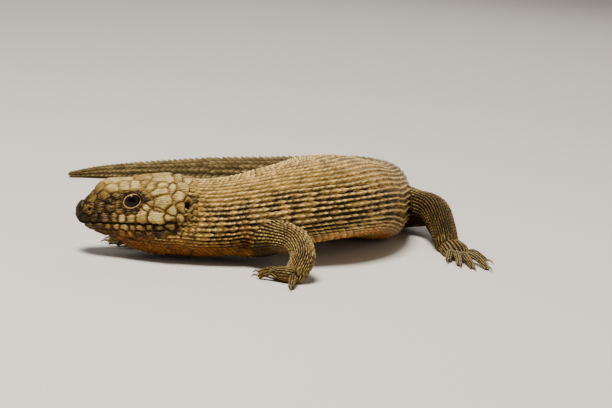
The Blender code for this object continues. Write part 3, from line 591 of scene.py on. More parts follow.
def keep_bake_map(obj, places):
    """The map for baking, from one place for each point."""
    layer = obj.data.uv_layers.new(name="OFBake")
    corners = np.zeros(len(obj.data.loops), dtype=np.int32)
    obj.data.loops.foreach_get("vertex_index", corners)
    layer.data.foreach_set("uv", places[corners].astype(np.float32).ravel())


def grid_faces(rows, columns):
    """Quads between rows of points that close round; several rows may lie in one mesh."""
    r, c = grid_of(np.arange(rows - 1), np.arange(columns))
    after = (c + 1) % columns
    here, ahead = r * columns, (r + 1) * columns
    return np.stack((here + c, here + after, ahead + after, ahead + c), axis=-1).reshape(-1, 4)


def ring_close(rows, columns):
    """Quads that join the last row of points to the first."""
    c = np.arange(columns)
    after = (c + 1) % columns
    last = (rows - 1) * columns
    return np.stack((last + c, last + after, after, c), axis=1)


def round_sum(angle, first, second):
    """Points round a circle between two directions."""
    return np.cos(angle)[..., None] * first + np.sin(angle)[..., None] * second


def search_tree(points):
    tree = KDTree(len(points))
    for k, place in enumerate(points):
        tree.insert(place, k)
    tree.balance()
    return tree


def near_box(points, surface, reach):
    """Which points lie in a box round a surface."""
    low, high = surface.min(axis=0) - reach, surface.max(axis=0) + reach
    return ((points > low) & (points < high)).all(axis=1)


def buried(points, sheets, lift=0.0):
    """Which of the points lie inside any of the other sheets."""
    found = np.zeros(len(points), bool)
    for sheet in sheets:
        rows, columns = sheet.points.shape[:2]
        surface = (sheet.points + sheet.normals * lift).reshape(-1, 3)
        normals = sheet.normals.reshape(-1, 3)
        tree = search_tree(surface)
        for k in np.where(near_box(points, surface, 1.0) & ~found)[0]:
            _, i, _ = tree.find(points[k])
            row = i // columns
            if 0 < row < rows - 1 and (points[k] - surface[i]).dot(normals[i]) < 0.0:
                found[k] = True
    return found


def swell_between(sheet, others):
    """How far each point of a sheet swells out where another sheet runs into it, as flesh does."""
    points = sheet.points.reshape(-1, 3)
    swell = np.zeros(len(points))
    for other in others:
        surface = other.points.reshape(-1, 3)
        normals = other.normals.reshape(-1, 3)
        tree = search_tree(surface)
        for k in np.where(near_box(points, surface, MELT_REACH))[0]:
            _, i, away = tree.find(points[k])
            if away < 2.0 * MELT_REACH:
                apart = abs((points[k] - surface[i]).dot(normals[i]))
                share = max(0.0, 1.0 - apart / MELT_REACH)
                swell[k] = max(swell[k], share ** 2 * MELT_REACH / 4.0)
    return swell.reshape(sheet.points.shape[:2])


def melt_together(body, limbs):
    """The body and its limbs again, with a soft hollow instead of a sharp join."""
    swells = [swell_between(body, limbs)] + [swell_between(limb, [body]) for limb in limbs]
    made = []
    for sheet, swell in zip([body] + limbs, swells):
        points = sheet.points + sheet.normals * swell[..., None]
        points[..., 2] = np.maximum(points[..., 2], np.minimum(sheet.points[..., 2], FLOOR_GAP))
        made.append(Sheet(sheet.rows, points))
    return made[0], made[1:]


def scale_template(rows, columns):
    """One scale: along 0 to 1, across -1 to 1, whether a point is on its skirt, and its faces."""
    along, across = grid_of(np.linspace(0.0, 1.0, rows), np.linspace(-1.0, 1.0, columns))
    along, across = along.ravel(), across.ravel()
    index = np.arange(rows * columns).reshape(rows, columns)
    corners = (index[:-1, :-1], index[:-1, 1:], index[1:, 1:], index[1:, :-1])
    faces = [np.stack(corners, axis=-1).reshape(-1, 4)]
    edge = np.concatenate((index[:, 0], index[-1, 1:-1], index[::-1, -1]))
    skirt = rows * columns + np.arange(len(edge))
    faces.append(np.stack((edge[:-1], edge[1:], skirt[1:], skirt[:-1]), axis=-1))
    return (np.concatenate((along, along[edge])), np.concatenate((across, across[edge])),
            np.concatenate((np.zeros(rows * columns), np.ones(len(edge)))), np.concatenate(faces))


def chosen(place, keep):
    return {key: value[keep] for key, value in place.items()}


def bare_scales(sheet, place, others, share, lift, gap):
    """The scales that another sheet doesn't bury."""
    roots = sheet.at(place["s"] + place["length"] * share, place["angle"], lift)
    return chosen(place, ~buried(roots, others, gap))


SCALE_ROOTS = []


def lay_scales(name, sheet, place, template, finish, patch=WHOLE_MAP):
    """Solid scales over a sheet.

    place holds, for each scale: along, angle, length, half angle, tip's rise, keel, size beside a back
    scale's, and the four numbers that say where on the body it is. patch is the sheet's part of the bake map.
    """
    along, across, skirt, faces = template
    keys = ("s", "angle", "length", "half", "rise", "keel", "size")
    s, angle, length, half, rise, keel, size = (place[key][:, None] for key in keys)
    count, count_points = len(s), len(along)
    narrow = 1.0 - np.clip((along - 0.34) / 0.66, 0.0, 1.0) ** 1.15 * 0.95
    narrow = narrow * (0.80 + 0.20 * np.clip(along / 0.3, 0.0, 1.0))
    ridge = np.clip(1.0 - np.abs(across) * 2.2, 0.0, 1.0)
    height = rise * along ** 1.4 - SCALE_SINK * size + keel * ridge * (0.15 + 0.85 * along)
    height = height - SCALE_DROOP * size * across ** 2 * (1.0 - 0.4 * along)
    height = height - skirt * (SCALE_SKIRT * size + 0.7 * rise * along)
    points = sheet.at(s + along * length, angle + across * narrow * half, height).reshape(-1, 3)
    all_faces = (faces[None] + (np.arange(count) * count_points)[:, None, None]).reshape(-1, 4)
    obj = mesh_object(name, points, all_faces)
    chance = CHANCE.random(count)[:, None]
    ones = np.ones((count, count_points))
    on_scale = np.stack([value * ones for value in (along, across * 0.5 + 0.5, chance, skirt)], axis=-1)
    keep_values(obj, "on_scale", on_scale)
    keep_values(obj, "on_body", np.repeat(place["body"][:, None], count_points, axis=1))
    u0, v0, wide, tall = patch
    root = np.stack((u0 + wide * (s - sheet.rows[0]) / (sheet.rows[-1] - sheet.rows[0]) * ones,
                     v0 + tall * ((angle / TURN) % 1.0) * ones), axis=-1)
    spot = np.stack(((along - 0.5) * ones, across * narrow * 0.5 * ones), axis=-1)
    keep_bake_map(obj, (root + spot * 0.003).reshape(-1, 2))
    obj.data.materials.append(finish)
    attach(obj, "root")
    SCALE_ROOTS.append((sheet.at(place["s"], place["angle"]), place["body"]))
    return obj


def rows_of_scales(start, end, rows, pitch, cover=SCALE_COVER):
    """Scales set brick-wise in rows that run along a sheet; pitch is one length or a table of them."""
    table = np.array(((start, pitch), (end, pitch))) if np.ndim(pitch) == 0 else pitch
    lines = [start]
    while lines[-1] < end:
        lines.append(lines[-1] + size_at(table, lines[-1], 1))
    s, angle = grid_of(lines[:-1], round_angles(rows))
    step = size_at(table, s, 1)
    s = s + (np.arange(rows) % 2) * step * 0.5
    s, angle, step = s.ravel(), angle.ravel(), step.ravel()
    count = len(s)
    return {
        "s": s + CHANCE.normal(0.0, 0.05, count) * step,
        "angle": angle + CHANCE.normal(0.0, 0.035 * TURN / rows, count),
        "length": step * cover * CHANCE.uniform(0.92, 1.08, count),
        "half": np.full(count, TURN / rows * SCALE_WIDE),
        "rise": np.full(count, 0.34),
        "keel": np.full(count, 0.22),
        "size": np.ones(count),
    }


def srgb(text):
    """A colour such as 8a7a55, turned linear."""
    parts = [int(text[k:k + 2], 16) / 255.0 for k in (0, 2, 4)]
    return tuple(p / 12.92 if p <= 0.04045 else ((p + 0.055) / 1.055) ** 2.4 for p in parts) + (1.0,)


class Finish:
    """A material, built up node by node."""

    def __init__(self, name, roughness, ior=1.5):
        self.material = bpy.data.materials.new(name)
        self.material.use_nodes = True
        self.tree = self.material.node_tree
        self.shader = self.tree.nodes["Principled BSDF"]
        self.put("Roughness", roughness)
        self.put("IOR", ior)

    def put(self, name, value):
        """Set one of the shader's own values, or link a node to it."""
        if isinstance(value, bpy.types.NodeSocket):
            self.tree.links.new(value, self.shader.inputs[name])
        else:
            self.shader.inputs[name].default_value = value

    def add(self, kind, settings, inputs, out=0):
        """Add one node, its inputs linked or set, and give back one output or, for None, all."""
        made = self.tree.nodes.new(kind)
        for name, value in settings.items():
            setattr(made, name, value)
        for place, value in inputs.items():
            if isinstance(value, bpy.types.NodeSocket):
                self.tree.links.new(value, made.inputs[place])
            else:
                made.inputs[place].default_value = value
        return made.outputs if out is None else made.outputs[out]

    def mark(self, name, out="Color"):
        """Values that the mesh keeps for each point."""
        return self.add("ShaderNodeAttribute", {"attribute_name": name}, {}, out)

    def parts(self, colour):
        return self.add("ShaderNodeSeparateColor", {}, {0: colour}, None)

    def noise(self, scale, detail):
        """Soft noise; scale is how many of its grains fit in a metre."""
        place = self.add("ShaderNodeTexCoord", {}, {}, "Object")
        return self.add("ShaderNodeTexNoise", {}, {"Vector": place, "Scale": scale, "Detail": detail}, "Fac")

    def calc(self, operation, *values):
        return self.add("ShaderNodeMath", {"operation": operation}, dict(enumerate(values)))

    def times(self, first, second):
        return self.calc("MULTIPLY", first, second)

    def plus(self, value, share, more):
        """A share of the value, and more."""
        return self.calc("MULTIPLY_ADD", value, share, more)

    def ramp(self, value, start, end, low=0.0, high=1.0, kind="SMOOTHSTEP"):
        """Rise from low to high while the value goes from start to end."""
        return self.add("ShaderNodeMapRange", {"interpolation_type": kind},
                        {"Value": value, "From Min": start, "From Max": end, "To Min": low, "To Max": high})

    def even(self, value, low, high, end=1.0):
        return self.ramp(value, 0.0, end, low, high, "LINEAR")

    def mix(self, share, near, far, kind="MIX"):
        settings = {"data_type": "RGBA", "blend_type": kind}
        return self.add("ShaderNodeMix", settings, {0: share, 6: near, 7: far}, 2)

    def rough(self, height, strength, depth):
        """A fine relief; depth is in metres."""
        relief = {"Strength": strength, "Distance": depth, "Height": height}
        self.put("Normal", self.add("ShaderNodeBump", {}, relief, "Normal"))


def scale_keratin(name, coat, tail_coat, roughness, sides_from):
    """Keeled lizard scales of dull keratin: a pale keel with a painted highlight at its tip, dark sides where
    the stripes run, and painted shade at roots and skirts.

    A coat is six colours: back, olive, pale, dark, belly, and the dusk colour that painted shade and
    darkening multiply in. The tail's take over towards the tail.
    """
    horn = Finish(name, roughness, 1.42)
    horn.put("Specular IOR Level", 0.35)
    horn.put("Specular Tint", srgb("f0d8a8"))
    along, across, chance = horn.parts(horn.mark("on_scale"))
    skirt = horn.mark("on_scale", "Alpha")
    under, stripe, shade_and_darkening = horn.parts(horn.mark("on_body"))
    tailward = horn.mark("on_body", "Alpha")
    back, olive, pale, dark, belly, dusk_shade = (
        horn.mix(tailward, srgb(near), srgb(far)) for near, far in zip(coat, tail_coat))
    # Mottling of about 5 mm runs over several scales, and grain of about 0.7 mm lies within one
    mottle = horn.noise(190.0, 2.0)
    grain = horn.noise(1500.0, 3.0)
    aside = horn.calc("ABSOLUTE", horn.calc("SUBTRACT", across, 0.5))
    ragged = horn.plus(grain, 0.30, aside)
    lengthwise = horn.plus(grain, 0.30, along)
    colour = horn.mix(horn.ramp(mottle, 0.38, 0.62), back, olive)
    # The sides are dark where a stripe runs, and a little of the front too; off the stripes a weaker dark at
    # the sides is painted shade between the rows
    sides = horn.times(horn.ramp(ragged, sides_from, sides_from + 0.13), horn.ramp(lengthwise, 1.02, 0.82))
    sides = horn.times(sides, horn.ramp(stripe, 0.0, 0.9, 0.30))
    front = horn.times(horn.ramp(lengthwise, 0.66, 0.50), horn.times(stripe, 0.45))
    colour = horn.mix(horn.calc("MAXIMUM", sides, front), colour, dark)
    # The keel is pale and paler towards its tip, where a painted highlight sits, and the rear edge has a pale
    # rim that is partly painted highlight, on some scales more than on others
    patchy = horn.even(chance, 0.45, 1.0)
    keel = horn.times(horn.ramp(ragged, 0.36, 0.18), horn.ramp(along, 0.36, 0.80))
    colour = horn.mix(horn.times(keel, patchy), colour, pale)
    backward = horn.plus(aside, 0.45, along)
    edge = horn.times(horn.ramp(backward, 0.86, 1.0, 0.0, 0.7), patchy)
    colour = horn.mix(edge, colour, pale)
    colour = horn.mix(under, colour, horn.mix(horn.ramp(mottle, 0.42, 0.60), belly, olive))
    colour = horn.mix(shade_and_darkening, colour, dusk_shade, "MULTIPLY")
    # Every scale is of its own lightness; painted shade darkens its root, tucked under the scale ahead, and
    # its skirt
    root_shade = horn.ramp(along, 0.15, 0.75, horn.even(stripe, 0.50, 0.35, 0.9))
    light = horn.times(horn.even(chance, 0.78, 1.40), root_shade)
    light = horn.times(light, horn.even(skirt, 1.0, 0.35))
    horn.put("Base Color", horn.add("ShaderNodeHueSaturation", {}, {"Value": light, "Color": colour}))
    horn.put("Roughness", horn.even(grain, roughness - 0.12, roughness + 0.14))
    horn.rough(grain, 0.35, 0.00008)
    return horn.material


def shield_keratin():
    """Smooth head shields: grey-cream horn with fine striae and dark seams, warmer under the jaw, with
    painted shade in the nostrils, ears and sockets.
    """
    horn = Finish("head_shield_keratin", 0.46, 1.45)
    horn.put("Specular IOR Level", 0.4)
    horn.put("Specular Tint", srgb("f0dcb4"))
    tone, across, _ = horn.parts(horn.mark("on_shield"))
    seam = horn.mark("on_shield", "Alpha")
    warm, gape, _ = horn.parts(horn.mark("on_head"))
    hollow = horn.mark("on_head", "Alpha")
    # Grain of about 1 mm and blotches of about 2.5 mm
    grain = horn.noise(900.0, 4.0)
    blotch = horn.noise(400.0, 3.0)
    # Striae run along each shield, really about 0.5 mm apart, drawn 0.85 mm apart to show
    wavy = horn.plus(grain, 0.6, across)
    striae = horn.calc("SINE", horn.times(wavy, TURN / 0.85))
    toned = horn.calc("SUBTRACT", horn.plus(blotch, 0.8, tone), 0.42)
    toned = horn.plus(striae, 0.08, toned)
    colour = horn.mix(horn.ramp(toned, 0.04, 0.5), srgb("180c04"), srgb("8a6c34"))
    colour = horn.mix(horn.ramp(toned, 0.5, 0.95), colour, srgb("ccb472"))
    colour = horn.mix(warm, colour, srgb("dca24c"), "MULTIPLY")
    seam_colour = horn.mix(warm, horn.mix(tone, srgb("0c0502"), srgb("6a4220")), srgb("5a3812"))
    colour = horn.mix(seam, colour, seam_colour)
    colour = horn.mix(gape, colour, srgb("160c07"))
    # Painted shade, near black, fills the hollows of the nostrils, ears and eye sockets
    horn.put("Base Color", horn.mix(hollow, colour, srgb("0a0604")))
    horn.put("Roughness", horn.even(grain, 0.34, 0.56))
    horn.rough(horn.plus(grain, 0.8, striae), 0.8, 0.00012)
    return horn.material


def wet_eye():
    """Glossy eye: a dark brown iris with flecks of about 0.5 mm round a black pupil."""
    glass = Finish("wet_eye", 0.07, 1.34)
    glass.put("Specular IOR Level", 0.3)
    iris = glass.mix(glass.noise(1800.0, 2.0), srgb("0d0603"), srgb("2a160a"))
    glass.put("Base Color", glass.mix(glass.ramp(glass.mark("on_eye"), 0.36, 0.44), srgb("020101"), iris))
    return glass.material


def eyelid_scales():
    """Cream to brown scales of about 1 mm on the lids' rims."""
    lid = Finish("eyelid_scales", 0.4)
    lid.put("Base Color", lid.mix(lid.noise(900.0, 2.0), srgb("805a22"), srgb("d2a858")))
    return lid.material


def claw_keratin():
    """Claws of grey-brown horn with streaks of about 0.7 mm, darker towards the point."""
    horn = Finish("claw_horn", 0.32, 1.54)
    base = horn.mix(horn.noise(1400.0, 2.0), srgb("6b5c44"), srgb("a89878"))
    horn.put("Base Color", horn.mix(horn.mark("on_claw", "Fac"), base, srgb("3a2f24")))
    return horn.material


def matt_board():
    """Pale matt board for the floor, with a fine tooth of about 1.5 mm."""
    board = Finish("pale_matt_board", 0.85)
    board.put("Base Color", board.mix(board.noise(600.0, 2.0), srgb("d8d3c8"), srgb("dfdbd1")))
    return board.material


def eye_frame(side):
    """Centre of the eye, its axis, and the long and short way of its opening."""
    ring = head_section(EYE_AT)
    near = ring[: len(ring) // 2] if side > 0 else ring[len(ring) // 2:]
    near = near[near[:, 2] > size_at(MOUTH_LINE, EYE_AT, 1) + 1.0]
    place = near[np.abs(near[:, 2] - EYE_HEIGHT).argmin()]
    turn = float(heading(np.array(EYE_AT)))
    out = np.array((math.sin(turn), -math.cos(turn), 0.0)) * side
    base = from_spine(EYE_AT, 0.0, EYE_HEIGHT)
    reach = (place - base).dot(out) - EYE_DEPTH
    axis = out + np.array((0.0, 0.0, EYE_TILT))
    axis /= np.linalg.norm(axis)
    back = np.array((math.cos(turn), math.sin(turn), 0.0))
    up = np.array((0.0, 0.0, 1.0)) - axis * axis[2]
    up /= np.linalg.norm(up)
    slope = math.radians(LID_SLOPE)
    long_way = back * math.cos(slope) + up * math.sin(slope)
    short_way = up * math.cos(slope) - back * math.sin(slope)
    return base + out * reach, axis, long_way, short_way


def shield_seeds():
    """Centres, axes and sizes of all head shields, with small scales filled in behind them."""
    rows = [row for shield in SHIELDS for row in (shield, (shield[0], -shield[1], *shield[2:]))
            if row is shield or shield[1] > 0.0]
    columns = 40
    for k, u in enumerate(np.arange(25.0, 50.0, 2.3)):
        for j in range(columns):
            angle = TURN * (j + 0.5 * (k % 2)) / columns
            first = np.interp(low_side(angle), (0, 38, 60, 75, 95, 180), (24, 27, 33, 39, 42.5, 44.6))
            if u < first:
                continue
            place = round_body(u, angle)
            turn = heading(np.array(u))
            left = (place - from_spine(u, 0.0, 0.0))[:2] @ np.array((math.sin(turn), -math.cos(turn)))
            tone = 0.50 + 0.2 * math.sin(j * 2.4 + k)
            rows.append((u, float(left), float(place[2]), 1.25, 1.2, tone, 0, 0.2))
    return np.array(rows)


def shield_pattern(u, left, z):
    """For each point: mm from its shield's edge, the shield's numbers, along, across and which it is."""
    seeds = shield_seeds()
    best = np.full(len(u), 1e9)
    second = best.copy()
    owner = np.zeros(len(u), int)
    along_best, across_best = np.zeros(len(u)), np.zeros(len(u))
    for k, (su, sl, sz, long, tall, _, slope, _) in enumerate(seeds):
        c, s = math.cos(math.radians(slope)), math.sin(math.radians(slope))
        du, dz, dl = u - su, z - sz, left - sl
        along = du * c + dz * s
        across = dz * c - du * s
        distance = np.sqrt((along / long) ** 2 + (across / tall) ** 2 + (dl / tall) ** 2)
        closer = distance < best
        second = np.where(closer, best, np.minimum(second, distance))
        best = np.where(closer, distance, best)
        owner = np.where(closer, k, owner)
        along_best = np.where(closer, along, along_best)
        top = np.hypot(across, dl) * np.sign(across + dl * np.sign(sl + 1e-6) * -0.5 + 1e-9)
        across_best = np.where(closer, top, across_best)
    mean = np.sqrt(seeds[owner, HALF_LENGTH] * seeds[owner, HALF_HEIGHT])
    return (second - best) * mean * 0.5, seeds[owner], along_best, across_best, owner


def on_crown(height):
    return smoothly(height, 25.5, 28.5)


def shield_relief(u, height, edge, shield, rearward):
    """How far each shield swells over the head's shape, quieter on the snout and beside the crown."""
    plate = smoothly(edge, 0.02, 0.95) * 0.86 + rearward * shield[:, BACK_RISE] * 1.3
    quiet = 1.0 - 0.4 * smoothly(height, 26.5, 29.0) * smoothly(u, 31.0, 27.0)
    quiet = quiet * (1.0 - 0.35 * smoothly(u, 24.0, 17.0))
    return (plate - 0.52) * quiet


def shield_seams(u, height, edge, shield):
    """Seams: fine on the crown and the temples, broad and dark on the lips and under the jaw."""
    seam = 1.0 - smoothly(edge, 0.03, 0.40 - 0.14 * shield[:, TONE] - 0.06 * on_crown(height))
    seam = seam * (1.0 - 0.8 * on_crown(height) * smoothly(u, 31.0, 27.0))
    seam = seam * (1.0 - 0.3 * smoothly(height, 17.0, 19.0) * smoothly(u, 25.0, 29.0))
    return seam * (1.0 - 0.35 * smoothly(u, 24.0, 17.0) * smoothly(height, 17.5, 20.0))


def shield_tones(u, height, edge, shield, rearward, owner):
    """How pale each point of the shields is, from brown-black to cream, with painted shade towards the seams
    and a painted highlight at the rear.
    """
    own = CHANCE.normal(0.0, 0.06, 4000)[owner]
    tone = 0.5 + 0.72 * (shield[:, TONE] - 0.5) + 0.08 * on_crown(height) + own
    # The labials are dark, each with a pale spot in its middle
    mouth = size_at(MOUTH_LINE, u, 1)
    upper = height > mouth
    jaw = 1.0 - 0.55 * smoothly(mouth - height, 1.5, 4.5)
    labial = smoothly(height, 19.4, 17.4) * np.where(upper, smoothly(u, 23.6, 22.0), jaw)
    tone = tone * (1.0 - 0.60 * labial * smoothly(edge, 0.75, 0.28))
    # The upper labials are a little paler, the lower ones darken towards the corner of the mouth
    tone = tone * np.where(upper, 1.0 + 0.10 * labial, 1.0 - 0.4 * smoothly(u, 22.0, 27.0))
    # Painted shade darkens the big pale labials at the back towards the mouth
    tone = tone - 0.25 * upper * smoothly(u, 22.0, 24.0) * smoothly(height, 19.2, 16.8)
    # The snout's sides are darker
    tone = tone * (1.0 - 0.34 * smoothly(u, 19.0, 12.0) * smoothly(height, 27.5, 24.5))
    # Painted shade darkens each shield towards its seams and a painted highlight lightens its raised rear
    # part; the rostral's tip is darker
    return tone * (0.66 + 0.40 * smoothly(edge, 0.1, 0.9)) + 0.07 * rearward - 0.25 * (u < 1.9)


def sink_holes(u, left, points, lift, tone):
    """Sockets, nostrils in their rings, and ears with a raised rim; the last result is 1 inside them, where
    painted shade goes.
    """
    hollow = np.zeros(len(u))
    for side in (1.0, -1.0):
        same = left * side > 0.0
        centre, axis, long_way, short_way = eye_frame(side)
        rel = points - centre
        q = np.hypot(rel @ long_way / LID_LONG, rel @ short_way / LID_TALL)
        near = same & (rel @ axis > -1.5)
        lift = np.where(near, lift * smoothly(q, 1.15, 1.5) + 0.30 * bump(q, 1.28, 0.14), lift)
        # The skin round the lids is dark
        tone = np.where(near, tone * (1.0 - 0.7 * smoothly(q, 1.95, 1.3)), tone)
        socket = np.where(near, smoothly(q, 1.06, 0.86), 0.0)
        points = points - (axis * SOCKET_DEEP) * socket[:, None]
        from_nose = np.hypot(u - NOSTRIL_AT, points[:, 2] - NOSTRIL_HEIGHT)
        rings = 0.10 * np.cos(from_nose * TURN / NOSTRIL_RINGS) * smoothly(from_nose, 2.5, 1.9)
        lift = np.where(same & (from_nose < 2.6), lift + rings, lift)
        share = from_nose / NOSTRIL_RADIUS
        nostril = np.where(same, smoothly(share, 1.1, 0.55), 0.0)
        lift = lift - NOSTRIL_DEEP * nostril
        from_ear = np.hypot((u - EAR_AT) / (EAR_WIDE / 2), (points[:, 2] - EAR_HEIGHT) / (EAR_TALL / 2))
        ear = np.where(same, smoothly(from_ear, 1.12, 0.55), 0.0)
        lift = lift * (1.0 - ear) - EAR_DEEP * ear + np.where(same, 0.35 * bump(from_ear, 1.3, 0.2), 0.0)
        hollow = np.maximum.reduce((hollow, socket, nostril, ear))
    return points, lift, tone, hollow


def make_head_shell(finish):
    """The whole head's hide as one fine skin, with its shields, lips, nostrils, ears and sockets."""
    rows = np.concatenate(((0.15, 0.35, 0.6), np.arange(0.85, HEAD_END, SHELL_STEP)))
    sheet = Sheet(rows, np.array([head_section(u) for u in rows]))
    count, columns = sheet.points.shape[:2]
    column = np.arange(columns)
    step = np.where(column < CHIN_POINTS + LIP_POINTS + FACE_POINTS, column, columns - column)
    u = np.repeat(rows, columns)
    points = sheet.points.reshape(-1, 3)
    height = points[:, 2]
    from_middle = (points - from_spine(u, 0.0, 0.0))[:, :2]
    turn = heading(u)
    left = from_middle[:, 0] * np.sin(turn) - from_middle[:, 1] * np.cos(turn)
    # A little waviness keeps the seams from being ruled lines
    wave = 0.16 * np.sin(height * 2.1 + u * 0.7) + 0.12 * np.sin(u * 2.7 + left)
    waved = (u + wave, left + wave * 0.6, height + wave * 0.8)
    edge, shield, along, across, owner = shield_pattern(*waved)
    from_mouth = np.tile(np.abs(step - (CHIN_POINTS + (LIP_POINTS - 1) / 2.0)), count)
    lips = np.clip(1.0 - np.maximum(0.0, from_mouth - 2.5) / 2.0, 0.0, 1.0) * (u < MOUTH_CORNER + 0.5)
    rearward = np.clip(along / shield[:, HALF_LENGTH], -1.0, 1.0)
    lift = shield_relief(u, height, edge, shield, rearward) * (1.0 - lips) * smoothly(u, 0.2, 1.6)
    # The shell's rear edge dips under the neck's scales
    lift = lift - 0.9 * smoothly(u, 45.8, 48.6)
    seam = shield_seams(u, height, edge, shield)
    tone = shield_tones(u, height, edge, shield, rearward, owner)
    # The throat and the jaw's underside are warmer, and the gape between the lips is dark
    warm = smoothly(height, 15.5, 9.0)
    gape = lips * smoothly(4.5 - from_mouth, 0.0, 1.5)
    points, lift, tone, hollow = sink_holes(u, left, points, lift, tone)
    points = points + sheet.normals.reshape(-1, 3) * lift[:, None]
    points[:, 2] = np.maximum(points[:, 2], 0.3)
    points = np.vstack((points, points[:columns].mean(axis=0)))
    obj = mesh_object("head_shields", points, grid_faces(count, columns))
    close_end(obj, [[k, (k + 1) % columns, len(points) - 1] for k in range(columns)])
    nothing = np.zeros(len(u))
    kept = {"on_shield": (tone, across, nothing, seam), "on_head": (warm, gape, nothing, hollow)}
    for name, values in kept.items():
        values = np.stack(values, axis=1)
        keep_values(obj, name, np.vstack((values, values[:1])))
    spread_out = np.stack((u / 50.0, np.tile(column / columns, count)), axis=1)
    keep_bake_map(obj, np.vstack((spread_out, (0.0, 0.5))))
    obj.data.materials.append(finish)
    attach(obj, "root")
    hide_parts("head")


def make_ear_lobules(sheet, finish):
    """Two pale pointed lobules that guard the front of each ear opening."""
    heights = np.radians((109.0, 115.5))
    angles = np.concatenate((heights, TURN - heights))
    sizes = {"s": EAR_AT - 2.0, "length": 1.6, "half": 0.05, "rise": 0.65, "keel": 0.3, "size": 1.0}
    place = {key: np.full(len(angles), value) for key, value in sizes.items()}
    place.update(angle=angles, body=np.zeros((len(angles), 4)))
    lay_scales("ear_lobules", sheet, place, scale_template(6, 5), finish)


def make_eyes():
    """Dark glossy eyes, each with a beaded cream rim of the lids."""
    glassy, lid_horn = wet_eye(), eyelid_scales()
    for side, label in ((1.0, "left"), (-1.0, "right")):
        centre, axis, long_way, short_way = eye_frame(side)
        theta, phi = grid_of(np.linspace(0.02, math.pi - 0.02, 40), round_angles(48))
        ball = centre + EYE_RADIUS * round_sum(theta, axis, round_sum(phi, long_way, short_way))
        eye = mesh_object("eye_ball_" + label, ball.reshape(-1, 3), grid_faces(40, 48))
        keep_values(eye, "on_eye", np.repeat(np.sin(theta).ravel()[:, None], 4, axis=1))
        eye.data.materials.append(glassy)
        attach(eye, "root")
        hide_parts("eye_" + label)
        around, section = grid_of(round_angles(144), round_angles(12))
        upper_thinner = 1.0 - 0.25 * np.clip(np.sin(around), 0.0, 1.0)
        bead = LID_BEAD * (1.0 + 0.16 * np.cos(around * 24.0)) * upper_thinner
        rim = round_sum(around, LID_LONG * 0.98 * long_way, LID_TALL * 0.98 * short_way)
        depth = np.sqrt(EYE_RADIUS ** 2 - (rim ** 2).sum(axis=-1)) - 0.02
        outward = (bead * np.cos(section))[..., None] * round_sum(around, long_way, short_way)
        forward = (depth + bead * 1.25 * np.sin(section))[..., None] * axis
        faces = np.vstack((grid_faces(144, 12), ring_close(144, 12)))
        lid = mesh_object("eyelids_" + label, (centre + rim + outward + forward).reshape(-1, 3), faces)
        lid.data.materials.append(lid_horn)
        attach(lid, "root")


def body_marks(s, angle):
    """Where on the body a scale is: belly, stripe, painted shade with darkening, and how far towards the
    tail.
    """
    side = low_side(angle)
    forward = smoothly(s, 74.0, 48.0)
    belly = 1.0 - smoothly(side, 45.0, 68.0 + 6.0 * smoothly(s, 80.0, 110.0))
    belly = belly * np.interp(s, (50.0, 62.0, 80.0, 110.0), (0.5, 0.28, 0.34, 1.0))
    # Towards the hips the stripes fade and keep lower on the flank
    upper = side + 12.0 * forward + 20.0 * smoothly(s, 96.0, 128.0)
    stripe = smoothly(side, 46.0, 60.0) * smoothly(upper, 142.0, 124.0)
    stripe = stripe * smoothly(s, 44.0, 50.0) * (1.0 - 0.6 * smoothly(s, 108.0, 142.0))
    # On the neck the stripes break into dashes; on the back a few scales keep a dark fleck
    kept = CHANCE.random(np.shape(s)) < np.interp(s, (44.0, 56.0, 84.0, 120.0), (0.40, 0.56, 0.70, 0.74))
    stripe = np.where(kept, stripe, stripe * 0.25)
    fleck = (CHANCE.random(np.shape(s)) < 0.30) & (side > 110.0) & (s > 46.0)
    stripe = np.where(fleck, np.maximum(stripe, 0.40), stripe)
    # Painted shade darkens the throat's underside and the shoulder's fold, and the coat darkens towards the
    # tail
    shade_and_darkening = 0.8 * smoothly(s, 178.0, 236.0)
    shade_and_darkening = shade_and_darkening + 0.95 * smoothly(s, 104.0, 62.0) * smoothly(side, 92.0, 50.0)
    shade_and_darkening = np.minimum(shade_and_darkening + 0.6 * at_fold(s, side, 2.6), 1.0)
    return np.stack((belly, stripe, shade_and_darkening, smoothly(s, 150.0, 214.0)), axis=-1)


